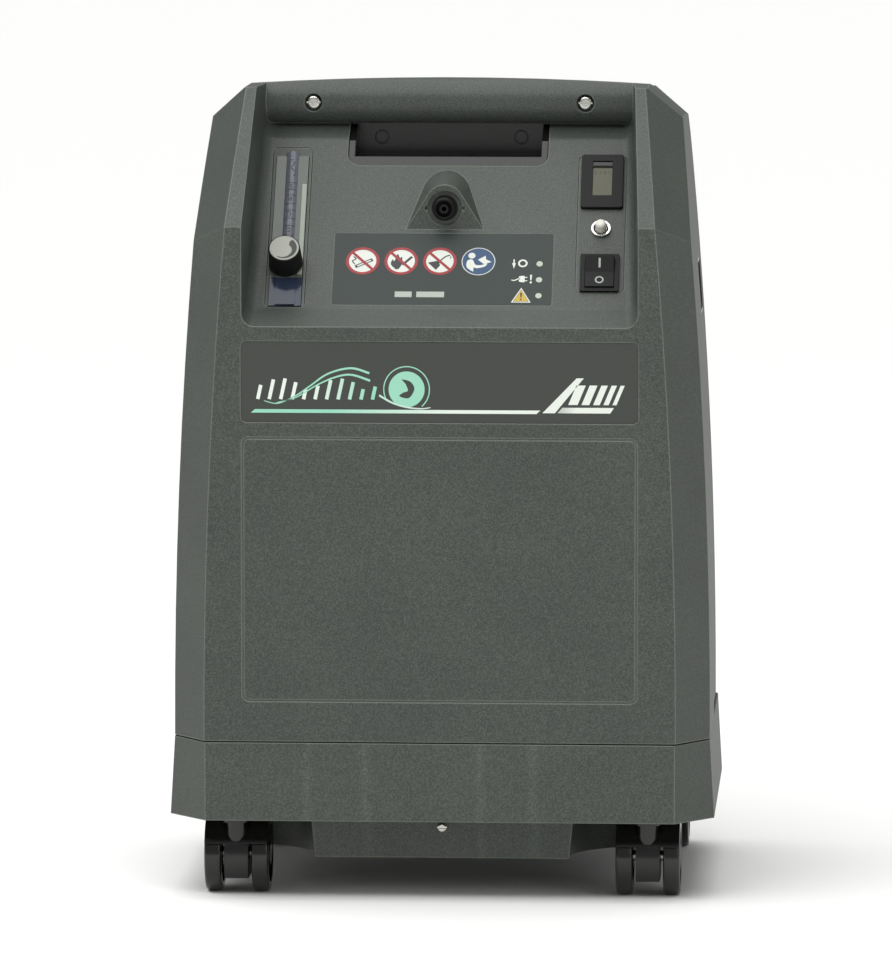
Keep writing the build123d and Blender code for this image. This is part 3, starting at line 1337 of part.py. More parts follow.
with BuildPart() as air_hoses:
    for stops in HOSE_ROUTES:
        with BuildLine() as hose_path:
            FilletPolyline(*[(x, y_at(d), z) for x, d, z in stops], radius=10)
        with BuildSketch(Plane(origin=hose_path.line @ 0, z_dir=hose_path.line % 0)):
            Circle(HOSE_R)
        sweep(path=hose_path.line)
    with BuildLine() as feed_path:
        FilletPolyline(
            (0, y_at(229.8), TANK_HIGH + 12),
            (0, y_at(205), TANK_HIGH + 12),
            (-90, y_at(160), TANK_HIGH + 8),
            METER_INLET + BEHIND * 1.6,
            METER_INLET,
            radius=14,
        )
    with BuildSketch(Plane(origin=feed_path.line @ 0, z_dir=feed_path.line % 0)):
        Circle(HOSE_R)
    sweep(path=feed_path.line)
    with BuildLine() as outlet_path:
        FilletPolyline(
            (0, y_at(SEAT_DEPTH + 31.1), OUTLET_Z),
            (0, y_at(SEAT_DEPTH + 52), OUTLET_Z),
            (-60, y_at(SEAT_DEPTH + 66), OUTLET_Z - 1),
            METER_OUTLET + BEHIND,
            METER_OUTLET,
            radius=12,
        )
    with BuildSketch(Plane(origin=outlet_path.line @ 0, z_dir=outlet_path.line % 0)):
        Circle(HOSE_R)
    sweep(path=outlet_path.line)
save(air_hoses, "air_hoses")
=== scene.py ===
"""Oxygen concentrator: finishes, printed markings, small fittings, camera and studio.

Lengths are written in millimetres and turned to metres by MM.  The control panel, the
front face and the switch rocker each have a frame of their own, in which x runs to the
right, y up the surface and z out of it.
"""
import json
from math import atan2, cos, degrees, pi, radians, sin

import bpy
from mathutils import Matrix, Vector


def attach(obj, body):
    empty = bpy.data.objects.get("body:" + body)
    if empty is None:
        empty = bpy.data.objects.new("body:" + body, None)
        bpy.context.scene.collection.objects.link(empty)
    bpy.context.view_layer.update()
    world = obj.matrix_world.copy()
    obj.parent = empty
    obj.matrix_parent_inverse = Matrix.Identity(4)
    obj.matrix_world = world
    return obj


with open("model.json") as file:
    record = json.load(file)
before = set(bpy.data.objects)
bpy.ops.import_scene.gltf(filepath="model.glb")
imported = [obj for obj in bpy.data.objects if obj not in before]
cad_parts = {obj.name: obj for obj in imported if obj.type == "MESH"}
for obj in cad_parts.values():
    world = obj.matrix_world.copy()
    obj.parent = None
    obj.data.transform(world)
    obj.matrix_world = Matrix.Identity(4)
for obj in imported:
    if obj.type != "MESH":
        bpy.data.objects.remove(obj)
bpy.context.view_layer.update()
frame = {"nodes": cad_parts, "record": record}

MM = 0.001
SLOPE = radians(40)  # the control panel leans back this far from vertical
PANEL = Matrix.Translation((0, -124 * MM, 384.5 * MM)) @ Matrix.Rotation(pi / 2 - SLOPE, 4, "X")
FRONT = Matrix.Translation((0, -146 * MM, 0)) @ Matrix.Rotation(pi / 2, 4, "X")
TUBE_X, TUBE_W, TUBE_R = -101.5, -4.2, 6.15
KNOB_X, KNOB_V, KNOB_TOP = -102.0, 34.0, 18.7
SWITCH_X, SWITCH_V = 101.5, 27.8
METER_X, METER_FACE = 101.5, 1.73  # the hour meter's display and the height printed on it
BREAKER_V, BREAKER_FLOOR = 63.2, 0.45
KNOB_CAP_R = 9.5
SLOT_HALF, SLOT_LOW, SLOT_HIGH = 12.6, 0.4, 128.2  # the flowmeter's slot, less its gap
BLOCK_HALF, BLOCK_LOW, BLOCK_HIGH = 10.9, 0.8, 121.4  # the flowmeter's block, plus its gap
BEZEL_THICK, BEZEL_FOOT = 1.0, -1.2
FILM_TOP = -0.05  # outer face of the icon label, out of the panel
BADGE_TOP = -0.28  # outer face of the badge film, out of the front face
INK = 0.03  # thickness given to a printed layer

# ---------------------------------------------------------------------------- finishes


def linear(hex_colour):
    """A linear RGBA colour from an sRGB hex value."""
    channels = [int(hex_colour[i : i + 2], 16) / 255 for i in (1, 3, 5)]
    return (*[c / 12.92 if c <= 0.04045 else ((c + 0.055) / 1.055) ** 2.4 for c in channels], 1.0)


def add_node(tree, kind, inputs=None, stops=None, **settings):
    """Adds a node with its settings; an input is given a value or the socket that feeds it."""
    made = tree.nodes.new("ShaderNode" + kind)
    for name, value in settings.items():
        setattr(made, name, value)
    for name, value in (inputs or {}).items():
        if isinstance(value, bpy.types.NodeSocket):
            tree.links.new(value, made.inputs[name])
        else:
            made.inputs[name].default_value = value
    for index, (position, colour) in enumerate(stops or []):
        elements = made.color_ramp.elements
        element = elements[index] if index < 2 else elements.new(position)
        element.position, element.color = position, colour
    return made


def new_finish(name, **constants):
    """A material with one Principled shader, its constant values on the shader's own sockets."""
    finish = bpy.data.materials.new(name)
    finish.use_nodes = True
    tree = finish.node_tree
    shader = tree.nodes["Principled BSDF"]
    for socket, value in constants.items():
        shader.inputs[socket.replace("_", " ")].default_value = value
    place = add_node(tree, "TexCoord").outputs["Object"]
    return finish, tree, shader, place


def moulded_grain(tree, place, grain_mm, depth_mm, edge_mm):
    """Spark-eroded plastic: grain and slow sink marks, the rounded edge's normal and the whole normal."""
    grain = add_node(
        tree, "TexNoise", {"Vector": place, "Scale": 1 / (grain_mm * MM), "Detail": 3.0, "Roughness": 0.6}
    )
    sink = add_node(tree, "TexNoise", {"Vector": place, "Scale": 1 / (60 * MM), "Detail": 1.0})
    edge = add_node(tree, "Bevel", {"Radius": edge_mm * MM}, samples=4)
    flow = add_node(
        tree,
        "Bump",
        {"Height": sink.outputs["Fac"], "Distance": 0.5 * MM, "Strength": 0.35, "Normal": edge.outputs[0]},
    )
    bump = add_node(
        tree,
        "Bump",
        {
            "Height": grain.outputs["Fac"],
            "Distance": depth_mm * MM,
            "Strength": 0.8,
            "Normal": flow.outputs[0],
        },
    )
    return grain.outputs["Fac"], sink.outputs["Fac"], edge.outputs["Normal"], bump.outputs["Normal"]


def sharp_edge_factor(tree, edge_normal, low, high):
    """0 on a flat and 1 on a sharp edge, from how far the rounded normal turns off the face."""
    flat = add_node(tree, "NewGeometry").outputs["Normal"]
    along = add_node(tree, "VectorMath", {0: flat, 1: edge_normal}, operation="DOT_PRODUCT")
    spread = add_node(
        tree, "MapRange", {"Value": along.outputs["Value"], "From Min": high, "From Max": low}
    )
    return spread.outputs["Result"]


def cabinet_abs(name, tone, light, dark, sink_highlight_streaks=()):
    """Moulded ABS with a fine spark-eroded grain: satin, polished where edges are handled, and lightened
    along edges by a painted highlight.
    """
    finish, tree, shader, place = new_finish(name, Roughness=0.5, IOR=1.53, Specular_IOR_Level=0.4)
    grain, sink, edge, normal = moulded_grain(tree, place, 0.8, 0.06, 1.2)
    speck = add_node(
        tree, "ValToRGB", {"Fac": grain}, stops=[
            (0.36, linear(dark)), (0.64, linear(light)), (0.5, linear(tone))
        ]
    )
    shade = add_node(
        tree, "MapRange", {"Value": sink, "From Min": 0.3, "From Max": 0.7, "To Min": 0.94, "To Max": 1.06}
    )
    value = shade.outputs["Result"]
    for centre, width in sink_highlight_streaks:
        # painted highlight: faint paler streaks standing in for the light caught by the sink marks where ribs
        # behind the wall drew the plastic in
        across = add_node(tree, "SeparateXYZ", {"Vector": place}).outputs["X"]
        off = add_node(tree, "Math", {0: across, 1: centre * MM}, operation="SUBTRACT")
        near = add_node(tree, "Math", {0: off.outputs[0]}, operation="ABSOLUTE")
        lift = add_node(
            tree,
            "MapRange",
            {"Value": near.outputs[0], "From Max": width * MM, "To Min": 1.22, "To Max": 1.0},
            interpolation_type="SMOOTHSTEP",
        )
        value = add_node(
            tree, "Math", {0: value, 1: lift.outputs["Result"]}, operation="MULTIPLY"
        ).outputs[0]
    tinted = add_node(tree, "VectorMath", {0: speck.outputs["Color"], "Scale": value}, operation="SCALE")
    edge_highlight_and_gloss = sharp_edge_factor(tree, edge, 0.90, 0.995)
    # painted highlight: along sharp edges the colour is mixed toward a pale tone
    painted_edge_highlight = add_node(
        tree,
        "Mix",
        {"Factor": edge_highlight_and_gloss, 6: tinted.outputs["Vector"], 7: linear("#7E847B")},
        data_type="RGBA",
    )
    tree.links.new(painted_edge_highlight.outputs[2], shader.inputs["Base Color"])
    dull = add_node(
        tree, "MapRange", {"Value": grain, "From Min": 0.3, "From Max": 0.7, "To Min": 0.44, "To Max": 0.58}
    )
    sheen = add_node(tree, "MapRange", {"Value": edge_highlight_and_gloss, "To Min": 0.0, "To Max": -0.14})
    rough = add_node(tree, "Math", {0: dull.outputs["Result"], 1: sheen.outputs["Result"]}, operation="ADD")
    tree.links.new(rough.outputs[0], shader.inputs["Roughness"])
    tree.links.new(normal, shader.inputs["Normal"])
    return finish


def smooth_plastic(
    name, tone, roughness, grain_mm=0.7, depth_mm=0.02, dust="#000000", amount=0.0, edge_mm=0.5, shine=0.5
):
    """Injection-moulded plastic with a fine grain: a little uneven in gloss, with light dust."""
    finish, tree, shader, place = new_finish(name, IOR=1.5, Specular_IOR_Level=shine)
    grain, sink, edge, normal = moulded_grain(tree, place, grain_mm, depth_mm, edge_mm)
    patch = add_node(
        tree, "MapRange", {"Value": sink, "From Min": 0.35, "From Max": 0.75, "To Max": amount}
    )
    coat = add_node(
        tree, "Mix", {"Factor": patch.outputs["Result"], 6: linear(tone), 7: linear(dust)}, data_type="RGBA"
    )
    tree.links.new(coat.outputs[2], shader.inputs["Base Color"])
    gloss = add_node(
        tree,
        "MapRange",
        {
            "Value": grain,
            "From Min": 0.3,
            "From Max": 0.7,
            "To Min": roughness * 0.85,
            "To Max": roughness * 1.15,
        },
    )
    tree.links.new(gloss.outputs["Result"], shader.inputs["Roughness"])
    tree.links.new(normal, shader.inputs["Normal"])
    return finish


def metal(name, tone, roughness, brush_mm=0.5, stretch=(1, 1, 1)):
    """Bare or plated metal, with turned or drawn lines a fraction of a millimetre apart."""
    finish, tree, shader, place = new_finish(name, Metallic=1.0)
    drawn = add_node(tree, "Mapping", {"Vector": place, "Scale": stretch})
    lines = add_node(
        tree, "TexNoise", {"Vector": drawn.outputs[0], "Scale": 1 / (brush_mm * MM), "Detail": 2.0}
    )
    shade = add_node(
        tree, "ValToRGB", {"Fac": lines.outputs["Fac"]}, stops=[(0.2, linear(tone)), (0.8, linear(tone))]
    )
    shade.color_ramp.elements[0].color = [0.82 * c for c in linear(tone)[:3]] + [1.0]
    tree.links.new(shade.outputs["Color"], shader.inputs["Base Color"])
    gloss = add_node(
        tree, "MapRange", {
            "Value": lines.outputs["Fac"], "To Min": roughness * 0.7, "To Max": roughness * 1.3
        }
    )
    tree.links.new(gloss.outputs["Result"], shader.inputs["Roughness"])
    edge = add_node(tree, "Bevel", {"Radius": 0.3 * MM}, samples=4)
    bump = add_node(
        tree, "Bump", {
            "Height": lines.outputs["Fac"],
            "Distance": 0.01 * MM,
            "Strength": 0.5,
            "Normal": edge.outputs[0],
        }
    )
    tree.links.new(bump.outputs[0], shader.inputs["Normal"])
    return finish


def printed_ink(name, tone, far_tone=None, start=0.0, end=1.0):
    """Screen-printed ink, slightly satin; far_tone blends in from one X, in millimetres, to another."""
    finish, tree, shader, place = new_finish(name, Roughness=0.42, IOR=1.49)
    mottle = add_node(tree, "TexNoise", {"Vector": place, "Scale": 1 / (0.8 * MM), "Detail": 2.0})
    across = add_node(tree, "SeparateXYZ", {"Vector": place}).outputs["X"]
    run = add_node(tree, "MapRange", {"Value": across, "From Min": start * MM, "From Max": end * MM})
    blend = add_node(
        tree,
        "Mix",
        {"Factor": run.outputs["Result"], 6: linear(tone), 7: linear(far_tone or tone)},
        data_type="RGBA",
    )
    uneven = add_node(tree, "MapRange", {"Value": mottle.outputs["Fac"], "To Min": 0.93, "To Max": 1.07})
    laid = add_node(
        tree, "VectorMath", {0: blend.outputs[2], "Scale": uneven.outputs["Result"]}, operation="SCALE"
    )
    tree.links.new(laid.outputs["Vector"], shader.inputs["Base Color"])
    return finish


def label_film(name, tone):
    """Printed polycarbonate film with a velvet surface: flat in tone, with a very fine pebble."""
    finish, tree, shader, place = new_finish(name, Roughness=0.48, IOR=1.58, Specular_IOR_Level=0.3)
    pebble = add_node(tree, "TexNoise", {"Vector": place, "Scale": 1 / (0.9 * MM), "Detail": 2.0})
    shade = add_node(tree, "MapRange", {"Value": pebble.outputs["Fac"], "To Min": 0.9, "To Max": 1.1})
    colour = add_node(
        tree, "VectorMath", {0: linear(tone)[:3], "Scale": shade.outputs["Result"]}, operation="SCALE"
    )
    tree.links.new(colour.outputs["Vector"], shader.inputs["Base Color"])
    bump = add_node(tree, "Bump", {"Height": pebble.outputs["Fac"], "Distance": 0.02 * MM, "Strength": 0.6})
    tree.links.new(bump.outputs[0], shader.inputs["Normal"])
    return finish


def cast_acrylic(name, tone, tint, tint_below, clear):
    """Machined cast acrylic, rubbed by the cutter: tint below a height in millimetres, tone above it."""
    finish, tree, shader, place = new_finish(name, IOR=1.49, Transmission_Weight=clear)
    height = add_node(tree, "SeparateXYZ", {"Vector": place}).outputs["Z"]
    low = add_node(
        tree, "MapRange", {
            "Value": height, "From Min": (tint_below - 0.4) * MM, "From Max": (tint_below + 0.4) * MM
        }
    )
    body = add_node(
        tree, "Mix", {"Factor": low.outputs["Result"], 6: linear(tint), 7: linear(tone)}, data_type="RGBA"
    )
    tree.links.new(body.outputs[2], shader.inputs["Base Color"])
    drawn = add_node(tree, "Mapping", {"Vector": place, "Rotation": (SLOPE, 0, 0), "Scale": (1, 1, 0.04)})
    lines = add_node(tree, "TexNoise", {"Vector": drawn.outputs[0], "Scale": 1 / (1.2 * MM), "Detail": 2.0})
    rough = add_node(tree, "MapRange", {"Value": lines.outputs["Fac"], "To Min": 0.04, "To Max": 0.2})
    tree.links.new(rough.outputs["Result"], shader.inputs["Roughness"])
    bump = add_node(tree, "Bump", {"Height": lines.outputs["Fac"], "Distance": 0.05 * MM, "Strength": 0.5})
    tree.links.new(bump.outputs[0], shader.inputs["Normal"])
    return finish


def filter_foam():
    """Reticulated polyester foam, about 30 pores to the inch, drawn at 1.6 mm: dark, dull and open-celled."""
    finish, tree, shader, place = new_finish("reticulated_foam", Roughness=0.95)
    cells = add_node(
        tree, "TexVoronoi", {"Vector": place, "Scale": 1 / (1.6 * MM)}, feature="DISTANCE_TO_EDGE"
    )
    # painted shade: the strands keep a paler tone and the pore openings between them are darkened
    strand_and_pore_shade = add_node(
        tree, "ValToRGB", {"Fac": cells.outputs["Distance"]}, stops=[
            (0.03, linear("#4C4E4B")), (0.16, linear("#101110"))
        ]
    )
    tree.links.new(strand_and_pore_shade.outputs["Color"], shader.inputs["Base Color"])
    bump = add_node(tree, "Bump", {"Height": cells.outputs["Distance"], "Distance": 0.8 * MM}, invert=True)
    tree.links.new(bump.outputs[0], shader.inputs["Normal"])
    return finish


def board_laminate():
    """FR-4 board under green solder mask: glossy, with the tracks showing as a paler pattern."""
    finish, tree, shader, place = new_finish("solder_mask", Roughness=0.3, IOR=1.55)
    tracks = add_node(tree, "TexBrick", {"Vector": place, "Scale": 1 / (26 * MM), "Mortar Size": 0.012})
    mask = add_node(
        tree, "ValToRGB", {"Fac": tracks.outputs["Fac"]}, stops=[
            (0.0, linear("#1E5A36")), (1.0, linear("#3F8A58"))
        ]
    )
    tree.links.new(mask.outputs["Color"], shader.inputs["Base Color"])
    return finish


FINISHES = {
    "cabinet_plastic": cabinet_abs("cabinet_abs", "#3F443F", "#4F544F", "#303430"),
    "black_gloss": smooth_plastic(
        "gloss_polypropylene", "#0F0F0E", 0.24, dust="#1C1C1A", amount=0.4, edge_mm=0.8
    ),
    "black_matte": smooth_plastic("satin_nylon", "#101010", 0.5, depth_mm=0.04, edge_mm=0.4, shine=0.2),
    "label_film": label_film("velvet_film_teal", "#1F2A26"),
    "badge_film": label_film("velvet_film_grey", "#3B3E3A"),
    "clear_acrylic": cast_acrylic("cast_acrylic", "#737A71", "#39445C", 402.9, 0.5),
    "blue_tube": cast_acrylic("blue_polycarbonate", "#868B98", "#868B98", 300, 0.6),
    "white_cap": smooth_plastic("pale_abs", "#92948A", 0.4),
    "steel": metal("zinc_plated_steel", "#C6C6C0", 0.25),
    "chrome": metal("chromed_brass", "#E2E2DE", 0.12),
    "brass": metal("turned_brass", "#C9A35A", 0.25),
    "aluminium": metal("die_cast_aluminium", "#B4B6B6", 0.42, brush_mm=1.0),
    "painted_steel": smooth_plastic("powder_coat", "#3C4648", 0.45, grain_mm=1.5, depth_mm=0.08),
    "lcd": smooth_plastic("liquid_crystal_panel", "#45442F", 0.4),
    "lamp_lens": smooth_plastic("lamp_lens", "#A9B5A6", 0.3),
    "button_white": smooth_plastic("white_nylon", "#D8D6CC", 0.4),
    "foam": filter_foam(),
    "silicone": smooth_plastic("silicone_rubber", "#C9C7BC", 0.38, dust="#B4B2A6", amount=0.5),
    "board": board_laminate(),
    "tread": smooth_plastic("polyurethane_tread", "#0D0D0C", 0.16, dust="#2A2A26", amount=0.5, edge_mm=0.8),
}
# the base's moulding, with painted highlight streaks along its skirt's sink marks
base_abs = cabinet_abs(
    "base_abs",
    "#414641",
    "#51564F",
    "#323632",
    sink_highlight_streaks=[(-85.6, 5.0), (-47.9, 6.0), (26.0, 5.0), (60.6, 6.0)],
)

for subpart in frame["record"]["subparts"]:
    piece = frame["nodes"][subpart["node"]]
    finish = base_abs if subpart["node"] == "base_tray" else FINISHES[subpart["material_slot"]]
    piece.data.materials.clear()
    piece.data.materials.append(finish)

# ------------------------------------------------------------------------- shop helpers


def alone(piece):
    """Only this piece is selected and active."""
    bpy.ops.object.select_all(action="DESELECT")
    piece.select_set(True)
    bpy.context.view_layer.objects.active = piece


def settle(piece, name, place, finish, body="cabinet"):
    """Puts a piece in its place in the mesh itself, gives it its finish, and lets it ride."""
    alone(piece)
    piece.name = piece.data.name = name
    piece.matrix_world = place @ piece.matrix_world
    bpy.ops.object.transform_apply(location=True, rotation=True, scale=True)
    piece.data.materials.clear()
    piece.data.materials.append(finish)
    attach(piece, body)
    return piece


def printed(name, outlines, surface, height, finish, body="cabinet", thick=INK):
    """A printed layer: closed outlines in millimetres, filled, standing height above a surface."""
    art = bpy.data.curves.new(name, "CURVE")
    art.dimensions, art.fill_mode, art.extrude = "2D", "BOTH", thick / 2 * MM
    for outline in outlines:
        line = art.splines.new("POLY")
        line.points.add(len(outline) - 1)
        for point, (x, y) in zip(line.points, outline):
            point.co = (x * MM, y * MM, 0, 1)
        line.use_cyclic_u = True
    piece = bpy.data.objects.new(name, art)
    bpy.context.scene.collection.objects.link(piece)
    alone(piece)
    bpy.ops.object.convert(target="MESH")
    lift = Matrix.Translation((0, 0, (height + thick / 2) * MM))
    return settle(bpy.context.object, name, surface @ lift, finish, body)


def circle(x, y, radius, count=56):
    return [
        (x + radius * cos(2 * pi * i / count), y + radius * sin(2 * pi * i / count)) for i in range(count)
    ]


def rectangle(left, right, low, high):
    return [(left, low), (right, low), (right, high), (left, high)]


def stroke(points, width, tip=None):
    """The outline of a line drawn through points, as wide as width, tapering to tip."""
    left, right = [], []
    last = len(points) - 1
    for i, (x, y) in enumerate(points):
        before, after = points[max(i - 1, 0)], points[min(i + 1, last)]
        way = Vector((after[0] - before[0], after[1] - before[1])).normalized()
        half = (width + ((tip if tip is not None else width) - width) * i / last) / 2
        left.append((x - way.y * half, y + way.x * half))
        right.append((x + way.y * half, y - way.x * half))
    return left + right[::-1]


def arc(x, y, radius, start, end, count=28):
    """Points along an arc, with its angles in degrees."""
    angles = [radians(start + (end - start) * i / count) for i in range(count + 1)]
    return [(x + radius * cos(a), y + radius * sin(a)) for a in angles]


def smooth_line(points, steps=8):
    """Points along a soft curve through the given ones."""
    ends = [points[0]] + list(points) + [points[-1]]
    line = []
    for i in range(1, len(ends) - 2):
        a, b, c, d = (Vector(p) for p in ends[i - 1 : i + 3])
        for step in range(steps):
            t = step / steps
            spot = b + 0.5 * t * ((c - a) + t * ((2 * a - 5 * b + 4 * c - d) + t * (3 * (b - c) + d - a)))
            line.append(tuple(spot))
    return line + [tuple(points[-1])]


def numeral(name, digit, size, x, y, surface, height, finish, body="cabinet"):
    """One printed figure, centred at x and y."""
    bpy.ops.object.text_add()
    piece = bpy.context.object
    piece.data.body, piece.data.size = digit, size * MM
    piece.data.align_x, piece.data.align_y = "CENTER", "CENTER"
    piece.data.extrude = INK / 2 * MM
    alone(piece)
    bpy.ops.object.convert(target="MESH")
    return settle(
        bpy.context.object, name, surface @ Matrix.Translation(
            (x * MM, y * MM, height * MM)
        ), finish, body
    )


# ------------------------------------------------------------------------ panel markings

white_ink = printed_ink("white_ink", "#CDD1C9")
red_ink = printed_ink("red_ink", "#8C1218")
black_ink = printed_ink("black_ink", "#1C1D1C")
blue_ink = printed_ink("blue_ink", "#0F3C63")
yellow_ink = printed_ink("yellow_ink", "#B89A1C")
grey_ink = printed_ink("grey_ink", "#9FA79E")

SIGN_V, SIGN_R = 37.3, 10.9
STOP_SIGNS = (-52.3, -27.3, -2.2)
READ_SIGN = 22.8
printed("sign_grounds", [circle(x, SIGN_V, SIGN_R - 0.6) for x in STOP_SIGNS], PANEL, FILM_TOP, white_ink)
printed(
    "sign_rings",
    [circle(x, SIGN_V, r) for x in STOP_SIGNS for r in (SIGN_R, SIGN_R - 2.0)],
    PANEL,
    FILM_TOP + 3 * INK,
    red_ink,
)
printed(
    "sign_bars",
    [stroke([(x - 6.6, SIGN_V + 6.6), (x + 6.6, SIGN_V - 6.6)], 1.9) for x in STOP_SIGNS],
    PANEL,
    FILM_TOP + 2 * INK,
    red_ink,
)
x = STOP_SIGNS[0]
ember = [stroke([(x - 4.6, SIGN_V - 4.6), (x + 6.4, SIGN_V + 1.2)], 2.4)]
ember += [stroke([(x - 3.4, SIGN_V - 4.0), (x + 5.4, SIGN_V + 0.7)], 1.0)]
ember += [
    stroke(
        smooth_line(
            [(x - 4.9, SIGN_V - 2.6), (x - 6.6, SIGN_V), (x - 4.4, SIGN_V + 1.6), (x - 6.0, SIGN_V + 3.6)]
        ),
        0.8,
    )
]
x = STOP_SIGNS[1]
flame = [
    smooth_line(
        [(x - 3.2, SIGN_V - 6.6), (x - 6.6, SIGN_V - 2.6), (x - 5.6, SIGN_V + 1.4), (x - 4.4, SIGN_V + 0.2),
         (x - 2.6, SIGN_V + 5.6), (x - 0.8, SIGN_V + 2.6), (x + 0.4, SIGN_V + 3.4), (x + 0.6, SIGN_V - 2.0),
         (x - 1.4, SIGN_V - 6.2)]
    )
]
flame += [stroke([(x + 0.9, SIGN_V - 3.0), (x + 7.0, SIGN_V + 3.6)], 1.7)]
x = STOP_SIGNS[2]
can = [[(x - 7.8, SIGN_V - 1.0), (x - 0.6, SIGN_V + 0.6), (x + 0.2, SIGN_V - 3.4), (x - 2.4, SIGN_V - 6.8)]]
can += [
    stroke(smooth_line([(x - 0.8, SIGN_V - 0.6), (x + 3.4, SIGN_V + 3.6), (x + 6.4, SIGN_V + 4.9)]), 0.9)
]
can += [stroke([(x + 6.9, SIGN_V + 3.8), (x + 6.9, SIGN_V + 2.0)], 0.8, 0.3)]
printed("sign_glyphs", ember + flame + can, PANEL, FILM_TOP + INK, black_ink)

x = READ_SIGN
printed("read_sign_rim", [circle(x, SIGN_V, SIGN_R)], PANEL, FILM_TOP, white_ink)
printed("read_sign_ground", [circle(x, SIGN_V, SIGN_R - 0.5)], PANEL, FILM_TOP + INK, blue_ink)
reader = [
    circle(x - 4.4, SIGN_V + 4.6, 2.3, 32),
    smooth_line(
        [(x - 3.2, SIGN_V - 8.2), (x - 7.4, SIGN_V - 4.6), (x - 7.2, SIGN_V + 0.4), (x - 4.0, SIGN_V + 1.5),
         (x - 1.8, SIGN_V - 2.6), (x + 2.2, SIGN_V - 2.8), (x + 5.6, SIGN_V - 1.2), (x + 4.4, SIGN_V - 3.8),
         (x - 0.6, SIGN_V - 5.4), (x - 3.0, SIGN_V - 4.6)]
    ),
    [
        (x - 0.4, SIGN_V + 1.4),
        (x + 4.6, SIGN_V + 4.6),
        (x + 4.9, SIGN_V + 1.6),
        (x + 8.6, SIGN_V - 0.4),
        (x + 3.4, SIGN_V - 1.9),
    ],
]
printed("read_sign_glyph", reader, PANEL, FILM_TOP + 2 * INK, white_ink)

# plain bars stand where a line of words would be
printed(
    "caption_bars",
    [stroke([(-30.5, 11.0), (-19.5, 11.0)], 4.4), stroke([(-16.5, 11.0), (1.5, 11.0)], 4.4)],
    PANEL,
    FILM_TOP,
    grey_ink,
)

LAMP_ROWS = (35.5, 22.8, 10.2)
marks = [
    stroke([(45.9, LAMP_ROWS[0] + 3.6), (45.9, LAMP_ROWS[0] + 0.6)], 0.9),
    [(44.7, LAMP_ROWS[0] + 0.6), (47.1, LAMP_ROWS[0] + 0.6), (45.9, LAMP_ROWS[0] - 3.8)],
    circle(51.6, LAMP_ROWS[0] + 0.5, 3.1, 32),
    circle(51.6, LAMP_ROWS[0] + 0.5, 1.9, 32),
    stroke(smooth_line([(44.6, 22.7), (46.6, 22.4), (48.6, 23.5), (50.2, 23.6)]), 0.8),
    [(49.4, 21.6), (49.4, 25.4), (51.0, 26.0), (53.2, 26.0), (53.2, 21.0), (51.0, 21.0)],
    stroke([(53.3, 24.8), (54.9, 24.8)], 0.7),
    stroke([(53.3, 22.2), (54.9, 22.2)], 0.7),
    stroke([(57.2, 26.9), (57.2, 22.6)], 1.3, 0.8),
    circle(57.2, 20.9, 0.75, 20),
]
printed("lamp_marks", marks, PANEL, FILM_TOP, white_ink)
printed(
    "warning_edge",
    [[(44.8, 4.9), (57.6, 4.9), (51.2, 16.6)], [(46.0, 5.6), (56.4, 5.6), (51.2, 15.2)]],
    PANEL,
    FILM_TOP,
    white_ink,
)
printed("warning_ground", [[(46.4, 5.9), (56.0, 5.9), (51.2, 14.7)]], PANEL, FILM_TOP, yellow_ink)
printed(
    "warning_glyph",
    [stroke([(51.2, 12.6), (51.2, 8.7)], 1.3, 0.7), circle(51.2, 7.3, 0.65, 20)],
    PANEL,
    FILM_TOP + INK,
    black_ink,
)

# --------------------------------------------------------------------------- front badge

fade_ink = printed_ink("mint_to_white_ink", "#8FCDB4", "#DDE5DC", -70, 10)
mint_ink = printed_ink("mint_ink", "#93CDB5")
emblem_ink = printed_ink("emblem_ink", "#DDE3DA")
fading_bar_ink = printed_ink("emblem_fading_ink", "#5F645E", "#DDE3DA", 66, 88)

printed(
    "badge_stripe",
    [[(-121.5, 318.4), (62.6, 318.4), (65.0, 320.7), (-118.8, 320.7)]],
    FRONT,
    BADGE_TOP,
    fade_ink,
)
# slanted strokes of changing height stand where a name would be
strokes = []
for index in range(11):
    foot = -117.0 + 7.4 * index
    tall = 5.0 + 8.5 * abs(sin(0.62 * index + 0.5))
    strokes.append(stroke([(foot, 327.2), (foot + tall * 0.22, 327.2 + tall)], 2.3))
printed(
    "badge_strokes",
    strokes,
    FRONT,
    BADGE_TOP,
    printed_ink("stroke_ink", "#DDE5DC", "#8FCDB4", -85, -45),
)
upper_sweep = smooth_line(
    [(-113, 326.2), (-104, 324.5), (-92.5, 329.5), (-83, 336.0), (-71.5, 343.8), (-57, 347.4), (-45, 344.2)]
)
lower_sweep = smooth_line(
    [(-105, 324.9), (-92, 328.6), (-79.5, 336.0), (-68, 341.2), (-57, 343.2), (-44.5, 339.4)]
)
printed(
    "badge_sweep_upper", [stroke(upper_sweep, 0.5, 1.5)], FRONT, BADGE_TOP + INK, mint_ink
)
printed(
    "badge_sweep_lower", [stroke(lower_sweep, 0.5, 1.5)], FRONT, BADGE_TOP + INK, mint_ink
)
DISC_X, DISC_Z = -21.0, 333.9
drop = smooth_line(
    [(DISC_X - 3.4, DISC_Z + 6.6), (DISC_X + 2.4, DISC_Z + 5.0), (DISC_X + 5.0, DISC_Z + 0.2),
     (DISC_X + 1.4, DISC_Z - 5.6), (DISC_X - 4.6, DISC_Z - 4.4), (DISC_X - 2.4, DISC_Z - 2.2),
     (DISC_X + 0.8, DISC_Z - 0.8), (DISC_X - 0.6, DISC_Z + 3.4)]
)
printed("badge_disc", [circle(DISC_X, DISC_Z, 11.6), drop], FRONT, BADGE_TOP, mint_ink)
printed(
    "badge_ring",
    [stroke(arc(DISC_X, DISC_Z, 14.7, 205, -48, 48), 0.7)],
    FRONT,
    BADGE_TOP,
    mint_ink,
)
